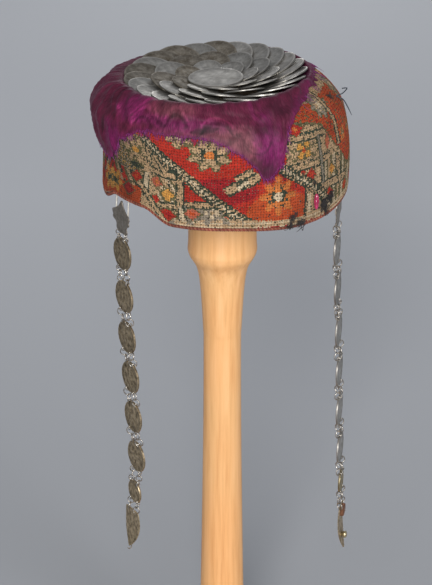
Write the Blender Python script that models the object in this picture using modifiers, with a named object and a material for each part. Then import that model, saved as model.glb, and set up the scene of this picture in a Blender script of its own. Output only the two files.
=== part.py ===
"""Bridal coin headdress on a plain turned wooden display stand.

Metres, +Z up, the front of the cap towards -Y. The origin is on the floor, in the middle of the
stand's foot. Heights given above the hem are measured from the plane of the cap's lower edge.
Azimuths are degrees, counter-clockwise seen from above, from +X.
"""
import math

import bmesh
import bpy
from mathutils import Matrix, Vector

MM = 0.001
GAP = 0.3 * MM  # clearance between pieces that touch
HEM_HEIGHT = 420 * MM  # plane of the cap's lower edge, above the floor

# Stand: a flat round foot and a turned post whose head carries the crown from inside
FOOT_RADIUS = 80 * MM
FOOT_THICKNESS = 20 * MM
FOOT_EDGE = 4 * MM
STAND_SIDES = 20
POST_HEAD = (
    # drop below the head's flat top in mm, radius in mm
    (0.0, 20.0),
    (2.4, 31.0),
    (8.0, 41.0),
    (15.0, 45.0),
    (23.0, 42.0),
    (33.0, 31.0),
    (41.0, 25.0),
)
POST_SHAFT = (
    # height above the hem in mm, radius in mm
    (-39.0, 25.0),
    (-53.0, 25.1),
    (-65.0, 19.1),
    (-81.0, 16.4),
    (-114.0, 14.4),
    (-130.0, 14.0),
    (-211.0, 14.6),
    (-340.0, 16.7),
)
POST_FOOT_RADIUS = 18 * MM

# Cap: a cloth wall, open below, whose crown is pressed into a dish under the coins
CLOTH = 2.5 * MM
COLUMNS = 30
FIRST_COLUMN = 4.0  # azimuth that puts a column on each crease
HEM_CORD_RADIUS = 1.3 * MM
CAP_EDGE = 2 * HEM_CORD_RADIUS / MM + GAP / MM  # lower edge of the cloth, above its cord
ROSETTE_SIDE = -4.7  # sideways place of the rosette's axis in mm
CUTTER_WIDTH = 300 * MM
CUTTER_HEIGHT = 100 * MM
CUTTER_LOW = HEM_HEIGHT + 50 * MM  # under the dished crown, above the hem
CAP_SECTIONS = (
    # height above the hem, middle's sideways place, half extent to the left, right, front, back, in mm
    (CAP_EDGE, 0.0, 86.3, 90.5, 89.5, 89.5),
    (25.0, 0.0, 85.5, 91.0, 91.0, 91.0),
    (40.0, 0.0, 85.0, 90.0, 90.5, 90.5),
    (55.0, 0.0, 88.5, 87.5, 89.0, 88.0),
    (65.0, 0.0, 90.5, 84.0, 86.0, 82.5),
    (75.0, -1.0, 84.5, 76.0, 79.5, 73.5),
    (80.5, -3.0, 77.0, 67.5, 73.5, 69.5),
    (82.0, ROSETTE_SIDE, 67.0, 67.0, 67.0, 67.0),
    (79.0, ROSETTE_SIDE, 65.0, 65.0, 65.0, 65.0),
    (72.9, ROSETTE_SIDE, 58.0, 58.0, 58.0, 58.0),
    (68.6, ROSETTE_SIDE, 50.0, 50.0, 50.0, 50.0),
    (66.0, ROSETTE_SIDE, 40.0, 40.0, 40.0, 40.0),
    (65.3, ROSETTE_SIDE, 34.0, 34.0, 34.0, 34.0),
)
SHOULDER_LEVEL = 4  # row where the crown starts to lean with the coins
RIM_LEVEL = 7
SEAM_LEVEL = 4  # row where the wall ends and the shoulder starts
CREASES = (
    # azimuth, half width in degrees, depth in mm, lowest and highest height in mm
    (232.0, 11.0, 3.0, 12.0, 76.0),
    (328.0, 11.0, 2.5, 8.0, 70.0),
)
HEM_WAVES = (
    # azimuth, half width, fade at each side in degrees, rise in mm
    (220.0, 26.0, 16.0, 9.5),
    (312.0, 42.0, 38.0, -4.0),
)
HEM_WAVE_REACH = 40.0  # height in mm where the hem's waves have faded

# Silk: one loose piece over the crown and shoulder, torn along its lower edge
SILK = 1.0 * MM
SILK_STAND_OFF = 0.5 * MM
SILK_BULGE = 4.5 * MM  # the loose silk stands this far off the cap's left side
SILK_BULGE_AZIMUTH = 180.0
SILK_BULGE_HALF_WIDTH = 50.0
SILK_BULGE_LOW = HEM_HEIGHT + 46 * MM
SILK_BULGE_HIGH = HEM_HEIGHT + 76 * MM
SILK_BULGE_INNER = 75 * MM  # nearer to the axis than this the silk lies flat
SILK_EDGE = (
    # azimuth, height of the torn edge above the hem in mm
    (0.0, 82.5),
    (20.0, 80.0),
    (45.0, 70.0),
    (66.0, 64.0),
    (90.0, 58.0),
    (112.0, 56.0),
    (135.0, 55.0),
    (150.0, 52.0),
    (165.0, 50.0),
    (180.0, 47.0),
    (190.0, 45.0),
    (197.0, 42.5),
    (209.0, 39.0),
    (213.0, 50.0),
    (216.0, 60.0),
    (236.0, 70.0),
    (248.0, 72.0),
    (256.0, 71.0),
    (264.0, 67.0),
    (271.0, 62.0),
    (277.0, 53.0),
    (283.0, 46.0),
    (288.0, 37.5),
    (292.0, 43.0),
    (298.0, 53.0),
    (302.0, 75.0),
    (308.0, 80.0),
    (322.0, 80.5),
    (342.0, 82.5),
)
SILK_FIRST_LEVEL = 1
TRIM_INNER_RADIUS = 63 * MM
TRIM_OUTER_RADIUS = 115 * MM

# Rosette: rings of overlapping coins, dished towards a large coin in the middle
ROSETTE_CENTRE = Vector((ROSETTE_SIDE * MM, 0.0, HEM_HEIGHT + 77.8 * MM))
ROSETTE_ROLL = 2.0  # degrees, the right side is the higher one
COIN_SIDES = 12
COIN_RINGS = (
    # name, coins, ring radius, coin radius, thickness in mm,
    # dish and lean in degrees, height in mm, phase in radians
    ("outer", 23, 48.5, 18.5, 1.2, 28.0, 14.5, 0.0, 0.0),
    ("middle", 12, 32.5, 15.0, 1.0, 28.0, 11.0, 0.5, 0.13),
    ("inner", 8, 21.0, 11.5, 0.9, 26.0, 9.75, 0.75, 0.3),
)
CENTRE_COIN_RADIUS = 20 * MM
CENTRE_COIN_THICKNESS = 1.5 * MM
CENTRE_COIN_HEIGHT = 2.75 * MM

# Chains: coins on two columns of jump rings, hung from a plate on a bent wire
CHAIN_COIN_RADIUS = 12.5 * MM
SMALL_COIN_RADIUS = 9.2 * MM
CHAIN_COIN_THICKNESS = 1.2 * MM
COLUMN_OFFSET = 5 * MM  # each column of rings, from the chain's middle line
HOLE_INSET = 1.8 * MM  # hole centre, from the coin's lowest and highest point
RING_RADIUS = 2.9 * MM  # middle of the wire, stretched a little to fit each span
RING_WIRE_RADIUS = 0.45 * MM
RING_BITE = 0.35 * MM  # overlap that joins one ring to the next
RING_SIDES = 10
WIRE_SIDES = 5
PLATE_HOLE_INSET = 1.2 * MM  # hole centre, from a plate's top or bottom edge
HANGER_WIRE_RADIUS = 0.5 * MM
HANGER_HALF_WIDTH = 8.5 * MM
HANGER_TOP = 18 * MM  # height above the hem that the wire reaches inside the cap
HANGER_SHOULDER_DROP = 6.0  # the wire's bends lie this far below its top, in mm
HANGER_TOP_SHARE = 0.6  # width of the wire's top, as a share of the width of its legs
FACET_SAG = 0.75 * MM  # the cloth's flat facets lie this far inside its round outline
PLATE_THICKNESS = 1.2 * MM
PALMETTE = (
    # height from the plate's middle, half width, bow outwards, in mm
    (12.3, 0.8, 0.0),
    (8.0, 4.0, 0.3),
    (2.8, 12.5, 0.8),
    (-3.2, 12.0, 0.8),
    (-5.5, 8.5, 0.4),
    (-12.3, 7.6, 0.0),
)
LEAF = (
    # share of the leaf's length below its top edge, half width in mm, bow outwards in mm
    (0.0, 9.5, 0.0),
    (0.26, 10.5, -0.4),
    (0.52, 10.0, 0.0),
    (0.78, 6.5, 1.2),
    (1.0, 0.9, 2.8),
)
CHAINS = (
    # name, hang azimuth, distance in front of the axis, palmette, leaf's top edge, leaf's length
    ("chain_left", 210.7, 44.0, (-71.2, -8.0), (-67.4, -245.0), 31.0),
    ("chain_right", -12.0, 18.0, (82.6, -13.2), (90.4, -256.4), 36.8),
)
CHAIN_COINS = {
    # sideways place and height of each coin's middle, from the axis and the hem, in mm
    "chain_left": (
        (-71.3, -36.2),
        (-70.5, -69.9),
        (-69.1, -102.2),
        (-67.0, -134.6),
        (-65.5, -167.3),
        (-63.6, -200.2),
        (-65.3, -230.0),
    ),
    "chain_right": (
        (82.9, -44.0),
        (84.0, -75.9),
        (85.4, -109.1),
        (86.6, -142.0),
        (87.4, -174.6),
        (88.6, -206.8),
        (89.8, -235.6),
    ),
}
STUD_RADIUS = 2.6 * MM
STUD_LENGTH = 4.2 * MM
STUD_DROP = 25.9 * MM
STUD_STAND_OFF = 1.0 * MM  # back of the stud, from the middle of the plate's top edge
BLOCK_SIZE = Vector((9.0, 3.0, 7.0)) * MM
BLOCK_DROP = 0.8 * MM  # top of the block, below the plate's top edge
TIP_HOOK_RADIUS = 1.6 * MM
TIP_HOOK_RISE = 0.4  # share of the hook's radius that reaches above the leaf's tip
TIP_HOOK_START = 100.0  # degrees
TIP_HOOK_STEP = 40.0
TIP_HOOK_POINTS = 7

# Small things sewn or stuck into the cloth
PIN_WIRE_RADIUS = 0.45 * MM
PIN_FRONT = 10 * MM  # the pin's plane, in front of the stand's axis
PIN_ROUTE = (
    # sideways place, height above the hem in mm
    (84.0, 76.1),
    (87.6, 76.3),
    (84.6, 72.5),
    (80.3, 70.4),
    (85.6, 67.3),
    (91.5, 56.0),
)
BEAD_CENTRE_HEIGHT = 13 * MM
BEAD_AZIMUTH = 314.4
BEAD_RADIUS = 2.0 * MM
BEAD_LENGTH = 12 * MM

FINISHES = {
    # base colour, roughness, metallic
    "pale_wood": ((0.72, 0.47, 0.26, 1.0), 0.55, 0.0),
    "embroidered_cloth": ((0.42, 0.10, 0.06, 1.0), 0.95, 0.0),
    "plum_silk": ((0.20, 0.03, 0.13, 1.0), 0.60, 0.0),
    "hem_cord": ((0.25, 0.07, 0.05, 1.0), 0.90, 0.0),
    "worn_silver": ((0.45, 0.43, 0.39, 1.0), 0.38, 1.0),
    "dark_wire": ((0.10, 0.11, 0.12, 1.0), 0.45, 1.0),
    "pink_glass": ((0.75, 0.10, 0.30, 1.0), 0.15, 0.0),
}


# Scene and helpers

def clear_scene():
    for item in list(bpy.data.objects):
        bpy.data.objects.remove(item, do_unlink=True)


def new_collection(name):
    group = bpy.data.collections.new(name)
    bpy.context.scene.collection.children.link(group)
    return group


def finish_named(name):
    """Material of one finish, made when it is first asked for."""
    found = bpy.data.materials.get(name)
    if found:
        return found
    colour, roughness, metallic = FINISHES[name]
    made = bpy.data.materials.new(name)
    made.use_nodes = True
    made.diffuse_color = colour
    shader = made.node_tree.nodes["Principled BSDF"]
    shader.inputs["Base Color"].default_value = colour
    shader.inputs["Roughness"].default_value = roughness
    shader.inputs["Metallic"].default_value = metallic
    return made


def add_part(name, mesh, finish, group):
    """Object of one sub-part, with its own material, in the object's collection."""
    if not mesh.materials:
        mesh.materials.append(finish_named(finish))
    part = bpy.data.objects.new(name, mesh)
    group.objects.link(part)
    return part


def mesh_from(builder, name):
    mesh = bpy.data.meshes.new(name)
    builder.to_mesh(mesh)
    builder.free()
    return mesh


def evaluated_mesh(source):
    """New mesh of an object as its modifiers or bevel leave it, with caps welded."""
    bpy.context.view_layer.update()
    graph = bpy.context.evaluated_depsgraph_get()
    mesh = bpy.data.meshes.new_from_object(source.evaluated_get(graph))
    builder = bmesh.new()
    builder.from_mesh(mesh)
    bmesh.ops.remove_doubles(builder, verts=builder.verts, dist=0.01 * MM)
    builder.to_mesh(mesh)
    builder.free()
    return mesh


def shade_round(mesh):
    mesh.shade_smooth()
    mesh.set_sharp_from_angle(angle=math.radians(35))


def wire_mesh(name, points, radius, bevel_resolution, cyclic=False):
    """Round wire through the points, as a closed mesh."""
    curve = bpy.data.curves.new(name, "CURVE")
    curve.dimensions = "3D"
    curve.bevel_depth = radius
    curve.bevel_resolution = bevel_resolution
    curve.use_fill_caps = not cyclic
    spline = curve.splines.new("POLY")
    spline.points.add(len(points) - 1)
    for target, point in zip(spline.points, points):
        target.co = (*point, 1.0)
    spline.use_cyclic_u = cyclic
    guide = bpy.data.objects.new(name + "_guide", curve)
    bpy.context.scene.collection.objects.link(guide)
    mesh = evaluated_mesh(guide)
    bpy.data.objects.remove(guide, do_unlink=True)
    shade_round(mesh)
    return mesh


def fused(name, solids, finish, group):
    """One body made of overlapping solids, joined with an exact union."""
    base = solids[0]
    others = new_collection(name + "_pieces")
    for solid in solids[1:]:
        others.objects.link(solid)
    bpy.context.scene.collection.objects.link(base)
    union = base.modifiers.new("union", "BOOLEAN")
    union.operation = "UNION"
    union.operand_type = "COLLECTION"
    union.collection = others
    union.solver = "EXACT"
    mesh = evaluated_mesh(base)
    mesh.transform(base.matrix_world)
    for solid in solids:
        bpy.data.objects.remove(solid, do_unlink=True)
    bpy.data.collections.remove(others)
    mesh.materials.clear()
    return add_part(name, mesh, finish, group)


# Stand

def turned(name, profile, group):
    """Solid turned about Z from a profile of (radius, height), from its top down."""
    builder = bmesh.new()
    points = [builder.verts.new((radius, 0.0, height)) for radius, height in profile]
    for upper, lower in zip(points, points[1:]):
        builder.edges.new((upper, lower))
    part = add_part(name, mesh_from(builder, name), "pale_wood", group)
    screw = part.modifiers.new("turn", "SCREW")
    screw.steps = STAND_SIDES
    screw.render_steps = STAND_SIDES
    screw.use_merge_vertices = True
    screw.merge_threshold = 0.05 * MM
    return part


def make_stand(group):
    foot_top = FOOT_THICKNESS
    foot = (
        (0.0, foot_top),
        (FOOT_RADIUS - FOOT_EDGE, foot_top),
        (FOOT_RADIUS, foot_top - FOOT_EDGE),
        (FOOT_RADIUS, 0.0),
        (0.0, 0.0),
    )
    turned("stand_base", foot, group)
    crown_tilt = (POST_HEAD[0][1] + ROSETTE_SIDE) * MM * math.tan(math.radians(ROSETTE_ROLL))
    head_top = HEM_HEIGHT + CAP_SECTIONS[-1][0] * MM - CLOTH - GAP - crown_tilt
    post = [(0.0, head_top)]
    post += [(radius * MM, head_top - drop * MM) for drop, radius in POST_HEAD]
    post += [(radius * MM, HEM_HEIGHT + height * MM) for height, radius in POST_SHAFT]
    post += [(POST_FOOT_RADIUS, foot_top + GAP), (0.0, foot_top + GAP)]
    turned("stand_post", post, group)


# Cap, silk and hem

def smooth_step(value):
    share = min(max(value, 0.0), 1.0)
    return share * share * (3.0 - 2.0 * share)


def angle_between(azimuth, other):
    return abs((azimuth - other + 180.0) % 360.0 - 180.0)


def crease_depth(azimuth, height):
    """How far the creases pull the wall in, at a height in mm."""
    depth = 0.0
    for middle, half_width, deepest, low, high in CREASES:
        across = smooth_step(1.0 - angle_between(azimuth, middle) / half_width)
        up = (height - low) / (high - low)
        along = math.sin(math.pi * up) if 0.0 < up < 1.0 else 0.0
        depth += deepest * MM * across * along
    return depth


def hem_rise(azimuth, height):
    """How far the hem's waves lift the wall, at a height in mm."""
    fading = max(0.0, 1.0 - height / HEM_WAVE_REACH)
    rise = 0.0
    for middle, half_width, fade, most in HEM_WAVES:
        rise += most * MM * smooth_step((half_width - angle_between(azimuth, middle)) / fade)
    return rise * fading


def cap_point(azimuth, level):
    """Point of the cap's outer face at an azimuth and a fractional row of its sections."""
    row = min(int(level), len(CAP_SECTIONS) - 2)
    share = level - row
    pairs = zip(CAP_SECTIONS[row], CAP_SECTIONS[row + 1])
    height, middle, left, right, front, back = (low + (high - low) * share for low, high in pairs)
    cosine = math.cos(math.radians(azimuth))
    sine = math.sin(math.radians(azimuth))
    x = (middle + cosine * (right if cosine > 0.0 else left)) * MM
    y = sine * (back if sine > 0.0 else front) * MM
    inwards = 1.0 - crease_depth(azimuth, height) / math.hypot(x, y)
    x *= inwards
    y *= inwards
    lean = smooth_step((level - SHOULDER_LEVEL) / (RIM_LEVEL - SHOULDER_LEVEL))
    tilt = (x - ROSETTE_CENTRE.x) * math.tan(math.radians(ROSETTE_ROLL)) * lean
    z = HEM_HEIGHT + height * MM + hem_rise(azimuth, height) + tilt
    return Vector((x, y, z))


def cap_surface(first_level):
    """Open surface from a row of the sections over the rim to the middle of the dish."""
    azimuths = [FIRST_COLUMN + 360.0 * column / COLUMNS for column in range(COLUMNS)]
    builder = bmesh.new()
    rings = []
    for level in range(first_level, len(CAP_SECTIONS)):
        rings.append([builder.verts.new(cap_point(azimuth, level)) for azimuth in azimuths])
    for lower, upper in zip(rings, rings[1:]):
        for column in range(COLUMNS):
            after = (column + 1) % COLUMNS
            builder.faces.new((lower[column], lower[after], upper[after], upper[column]))
    floor_height = HEM_HEIGHT + CAP_SECTIONS[-1][0] * MM
    middle = builder.verts.new((ROSETTE_CENTRE.x, 0.0, floor_height))
    for column in range(COLUMNS):
        after = (column + 1) % COLUMNS
        builder.faces.new((rings[-1][column], rings[-1][after], middle))
    bmesh.ops.triangulate(builder, faces=builder.faces, quad_method="FIXED")
    builder.normal_update()
    return builder


def thicken(part, thickness, offset):
    shell = part.modifiers.new("wall", "SOLIDIFY")
    shell.thickness = thickness
    shell.offset = offset
    shell.use_even_offset = True


def add_cutter(name, builder, cutters):
    cutter = bpy.data.objects.new(name, mesh_from(builder, name))
    cutter.hide_render = True
    cutter.display_type = "WIRE"
    cutters.objects.link(cutter)
    return cutter


def slab_cutter(name, low, high, cutters):
    """Slab wider than the cap, between two heights."""
    builder = bmesh.new()
    bmesh.ops.create_cube(builder, size=1.0)
    bmesh.ops.scale(builder, vec=(CUTTER_WIDTH, CUTTER_WIDTH, high - low), verts=builder.verts)
    cutter = add_cutter(name, builder, cutters)
    cutter.location = (0.0, 0.0, (low + high) / 2)
    return cutter


def dish_cutter(name, radius, cutters):
    """Upright prism over the dish, with a side for each column of the cap."""
    builder = bmesh.new()
    bmesh.ops.create_cone(
        builder, cap_ends=True, segments=COLUMNS, radius1=radius, radius2=radius, depth=CUTTER_HEIGHT
    )
    cutter = add_cutter(name, builder, cutters)
    cutter.location = (ROSETTE_CENTRE.x, 0.0, CUTTER_LOW + CUTTER_HEIGHT / 2)
    cutter.rotation_euler = (0.0, 0.0, math.radians(FIRST_COLUMN))
    return cutter


def cut(part, cutter, operation):
    boolean = part.modifiers.new(cutter.name, "BOOLEAN")
    boolean.operation = operation
    boolean.solver = "EXACT"
    boolean.object = cutter


def make_cap(group, cutters):
    """Cloth cap in three pieces that meet at narrow seams: wall, shoulder and dished crown."""
    seam = HEM_HEIGHT + CAP_SECTIONS[SEAM_LEVEL][0] * MM
    rim = CAP_SECTIONS[RIM_LEVEL][2] * MM
    above = slab_cutter("above_the_seam", seam - GAP / 2, CUTTER_LOW + CUTTER_HEIGHT, cutters)
    below = slab_cutter("below_the_seam", HEM_HEIGHT - CUTTER_HEIGHT, seam + GAP / 2, cutters)
    round_the_dish = dish_cutter("round_the_dish", rim + GAP / 2, cutters)
    inside_the_rim = dish_cutter("inside_the_rim", rim - GAP / 2, cutters)
    pieces = {
        "cap_wall": ((above, "DIFFERENCE"), (round_the_dish, "DIFFERENCE")),
        "cap_shoulder": ((below, "DIFFERENCE"), (round_the_dish, "DIFFERENCE")),
        "cap_crown": ((inside_the_rim, "INTERSECT"),),
    }
    for name, cuts in pieces.items():
        mesh = mesh_from(cap_surface(0), name)
        shade_round(mesh)
        piece = add_part(name, mesh, "embroidered_cloth", group)
        thicken(piece, CLOTH, -1.0)
        for cutter, operation in cuts:
            cut(piece, cutter, operation)


def silk_trimmer(cutters):
    """Ring that removes everything below the silk's torn edge."""
    builder = bmesh.new()
    corners = []
    for azimuth, height in SILK_EDGE:
        direction = Vector((math.cos(math.radians(azimuth)), math.sin(math.radians(azimuth)), 0.0))
        inner = direction * TRIM_INNER_RADIUS
        outer = direction * TRIM_OUTER_RADIUS
        low = Vector((0.0, 0.0, HEM_HEIGHT))
        high = Vector((0.0, 0.0, HEM_HEIGHT + height * MM))
        section = (inner + low, outer + low, outer + high, inner + high)
        corners.append([builder.verts.new(corner) for corner in section])
    for here, after in zip(corners, corners[1:] + corners[:1]):
        for side in range(4):
            following = (side + 1) % 4
            builder.faces.new((here[side], after[side], after[following], here[following]))
    bmesh.ops.recalc_face_normals(builder, faces=builder.faces)
    return add_cutter("silk_trimmer", builder, cutters)


def silk_stand_off(point):
    """Gap between the cap and the silk: even all over, wider where the silk hangs loose."""
    if point.xy.length < SILK_BULGE_INNER:
        return SILK_STAND_OFF
    azimuth = math.degrees(math.atan2(point.y, point.x))
    across = smooth_step(1.0 - angle_between(azimuth, SILK_BULGE_AZIMUTH) / SILK_BULGE_HALF_WIDTH)
    up = smooth_step((SILK_BULGE_HIGH - point.z) / (SILK_BULGE_HIGH - SILK_BULGE_LOW))
    return SILK_STAND_OFF + SILK_BULGE * across * up


def make_silk(group, cutters):
    builder = cap_surface(SILK_FIRST_LEVEL)
    for vertex in builder.verts:
        vertex.co += vertex.normal * silk_stand_off(vertex.co)
    mesh = mesh_from(builder, "silk_cover")
    shade_round(mesh)
    silk = add_part("silk_cover", mesh, "plum_silk", group)
    thicken(silk, SILK, 1.0)
    cut(silk, silk_trimmer(cutters), "DIFFERENCE")


def make_hem(group):
    """Twisted cord sewn along the cloth's lower edge."""
    drop = Vector((0.0, 0.0, -(GAP + HEM_CORD_RADIUS)))
    points = []
    for column in range(COLUMNS):
        edge = cap_point(FIRST_COLUMN + 360.0 * column / COLUMNS, 0)
        inwards = Vector((-edge.x, -edge.y, 0.0)).normalized() * CLOTH / 2
        points.append(edge + inwards + drop)
    mesh = wire_mesh("hem_binding", points, HEM_CORD_RADIUS, 1, cyclic=True)
    add_part("hem_binding", mesh, "hem_cord", group)


# Rosette

def coin_mesh(name, radius, thickness):
    builder = bmesh.new()
    bmesh.ops.create_cone(
        builder, cap_ends=True, segments=COIN_SIDES, radius1=radius, radius2=radius, depth=thickness
    )
    mesh = mesh_from(builder, name)
    shade_round(mesh)
    return mesh


def coin_frame(azimuth, ring_radius, height, dish, lean):
    """Place of a coin in a ring: its outer edge is raised, its leading edge is lowered."""
    outwards = Vector((math.cos(azimuth), math.sin(azimuth), 0.0))
    along = Vector((-math.sin(azimuth), math.cos(azimuth), 0.0))
    up = Vector((0.0, 0.0, 1.0))
    radial = outwards * math.cos(dish) + up * math.sin(dish)
    dished = up * math.cos(dish) - outwards * math.sin(dish)
    leading = along * math.cos(lean) - dished * math.sin(lean)
    normal = dished * math.cos(lean) + along * math.sin(lean)
    turn = Matrix((radial, leading, normal)).transposed().to_4x4()
    return Matrix.Translation(outwards * ring_radius + up * height) @ turn


def make_rosette(group):
    roll = Matrix.Rotation(-math.radians(ROSETTE_ROLL), 4, "Y")
    seat = Matrix.Translation(ROSETTE_CENTRE) @ roll
    for name, count, ring_radius, radius, thickness, dish, lean, height, phase in COIN_RINGS:
        mesh = coin_mesh("coin_" + name, radius * MM, thickness * MM)
        for number in range(count):
            azimuth = math.tau * number / count + phase
            coin = add_part(f"coin_{name}_{number + 1:02d}", mesh, "worn_silver", group)
            coin.matrix_world = seat @ coin_frame(
                azimuth, ring_radius * MM, height * MM, math.radians(dish), math.radians(lean)
            )
    mesh = coin_mesh("coin_centre", CENTRE_COIN_RADIUS, CENTRE_COIN_THICKNESS)
    coin = add_part("coin_centre", mesh, "worn_silver", group)
    coin.matrix_world = seat @ Matrix.Translation((0.0, 0.0, CENTRE_COIN_HEIGHT))


# Chains

def loose(name, mesh, matrix=None):
    """Object for a union, not yet in any collection."""
    item = bpy.data.objects.new(name, mesh)
    if matrix is not None:
        item.matrix_world = matrix
    return item


def frame_at(point, across, outwards):
    """Matrix whose X runs across the chain, Y outwards from the cap and Z up."""
    turn = Matrix((across, outwards, Vector((0.0, 0.0, 1.0)))).transposed().to_4x4()
    return Matrix.Translation(point) @ turn


def plate_mesh(name, rows):
    """Thin bowed plate from rows of (height, half width, bow)."""
    builder = bmesh.new()
    edges = []
    for height, half_width, bow in rows:
        left = builder.verts.new((-half_width * MM, bow * MM, height * MM))
        right = builder.verts.new((half_width * MM, bow * MM, height * MM))
        edges.append((left, right))
    for upper, lower in zip(edges, edges[1:]):
        builder.faces.new((upper[0], lower[0], lower[1], upper[1]))
    sheet = bpy.data.objects.new(name, mesh_from(builder, name))
    bpy.context.scene.collection.objects.link(sheet)
    thicken(sheet, PLATE_THICKNESS, 0.0)
    mesh = evaluated_mesh(sheet)
    bpy.data.objects.remove(sheet, do_unlink=True)
    return mesh


def jump_ring_mesh(radius):
    bpy.ops.mesh.primitive_torus_add(
        major_segments=RING_SIDES,
        minor_segments=WIRE_SIDES,
        major_radius=radius,
        minor_radius=RING_WIRE_RADIUS,
    )
    torus = bpy.context.object
    mesh = torus.data
    bpy.data.objects.remove(torus, do_unlink=True)
    return mesh


def ring_column(upper_hole, lower_hole, outwards, side):
    """Interlocked round rings from one hole to the next, each a quarter turn from the last."""
    run = lower_hole - upper_hole
    length = run.length
    down = run.normalized()
    step_loss = 2 * RING_WIRE_RADIUS - RING_BITE
    count = max(1, round((length - step_loss) / (2 * RING_RADIUS - step_loss)))
    radius = (length + (count - 1) * step_loss) / (2 * count)
    mesh = jump_ring_mesh(radius)
    across = down.cross(outwards).normalized()
    first_turn = 0.0 if count == 1 else math.radians(45.0) * side
    rings = []
    for number in range(count):
        centre = upper_hole + down * (radius + number * (2 * radius - step_loss))
        quarter = math.radians(90.0) * number * side
        axis = Matrix.Rotation(first_turn - quarter, 3, down) @ across
        turn = Matrix((down, axis.cross(down), axis)).transposed().to_4x4()
        rings.append(loose("ring", mesh, Matrix.Translation(centre) @ turn))
    return rings


def inner_wall(azimuth, height, depth):
    """Point inside the cap at a depth behind the middle of the cloth's outer face."""
    rise = (height - CAP_SECTIONS[0][0]) / (CAP_SECTIONS[1][0] - CAP_SECTIONS[0][0])
    point = cap_point(azimuth, max(rise, 0.0))
    radial = Vector((point.x, point.y, 0.0)).normalized()
    return Vector((point.x, point.y, HEM_HEIGHT + height * MM)) - radial * depth


def hanger_points(azimuth, palmette_middle, across):
    """Bent wire: up from one shoulder of the plate, along inside the cap, down to the other."""
    depth = CLOTH + GAP + FACET_SAG + HANGER_WIRE_RADIUS
    spread = math.degrees(HANGER_HALF_WIDTH / Vector(palmette_middle.xy).length)
    top = HANGER_TOP / MM
    inside = [
        inner_wall(azimuth - spread, top - HANGER_SHOULDER_DROP, depth),
        inner_wall(azimuth - spread * HANGER_TOP_SHARE, top, depth),
        inner_wall(azimuth + spread * HANGER_TOP_SHARE, top, depth),
        inner_wall(azimuth + spread, top - HANGER_SHOULDER_DROP, depth),
    ]
    right_foot = palmette_middle + across * HANGER_HALF_WIDTH
    left_foot = palmette_middle - across * HANGER_HALF_WIDTH
    if (inside[0] - right_foot).length < (inside[0] - left_foot).length:
        left_foot, right_foot = right_foot, left_foot
    return [left_foot] + inside + [right_foot]


def make_chain(name, azimuth, front, palmette, leaf, leaf_length, group):
    outwards = Vector((math.cos(math.radians(azimuth)), math.sin(math.radians(azimuth)), 0.0))
    across = Vector((-outwards.y, outwards.x, 0.0)) * -1.0
    plane_y = -front * MM

    def place(sideways, height):
        return Vector((sideways * MM, plane_y, HEM_HEIGHT + height * MM))

    solids = []
    plate_middle = place(*palmette)
    leaf_top = place(*leaf)
    palmette_plate = plate_mesh("palmette", PALMETTE)
    leaf_plate = plate_mesh("leaf", [(-share * leaf_length, half, bow) for share, half, bow in LEAF])
    solids.append(loose("palmette", palmette_plate, frame_at(plate_middle, across, outwards)))
    hanger = hanger_points(azimuth, plate_middle, across)
    solids.append(loose("hanger", wire_mesh("hanger", hanger, HANGER_WIRE_RADIUS, 1)))

    big = coin_mesh("chain_coin", CHAIN_COIN_RADIUS, CHAIN_COIN_THICKNESS)
    small = coin_mesh("small_coin", SMALL_COIN_RADIUS, CHAIN_COIN_THICKNESS)
    middles = [place(*spot) for spot in CHAIN_COINS[name]]
    flat = Matrix.Rotation(math.radians(90.0), 4, "X")
    stations = [(plate_middle, PALMETTE[0][0] * MM - PLATE_HOLE_INSET)]
    for number, middle in enumerate(middles):
        last = number == len(middles) - 1
        mesh = small if last else big
        radius = SMALL_COIN_RADIUS if last else CHAIN_COIN_RADIUS
        solids.append(loose("coin", mesh, frame_at(middle, across, outwards) @ flat))
        stations.append((middle, radius - HOLE_INSET))
    solids.append(loose("leaf", leaf_plate, frame_at(leaf_top, across, outwards)))
    stations.append((leaf_top, -PLATE_HOLE_INSET))

    up = Vector((0.0, 0.0, 1.0))
    for here, after in zip(stations, stations[1:]):
        for side in (-1.0, 1.0):
            shift = across * COLUMN_OFFSET * side
            upper = here[0] + shift - up * here[1]
            lower = after[0] + shift + up * after[1]
            solids += ring_column(upper, lower, outwards, side)

    tip = leaf_top - up * leaf_length * MM + outwards * LEAF[-1][2] * MM
    if name == "chain_left":
        solids += [tip_hook(tip, outwards)]
    else:
        solids += clasp_pieces(leaf_top, across, outwards)
    fused(name, solids, "worn_silver", group)


def tip_hook(tip, outwards):
    """Small open hook below the tip of the left leaf."""
    up = Vector((0.0, 0.0, 1.0))
    centre = tip - up * TIP_HOOK_RADIUS * (1.0 - TIP_HOOK_RISE)
    points = []
    for step in range(TIP_HOOK_POINTS):
        angle = math.radians(TIP_HOOK_START + TIP_HOOK_STEP * step)
        points.append(centre + (outwards * math.cos(angle) + up * math.sin(angle)) * TIP_HOOK_RADIUS)
    return loose("tip_hook", wire_mesh("tip_hook", points, RING_WIRE_RADIUS, 1))


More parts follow.
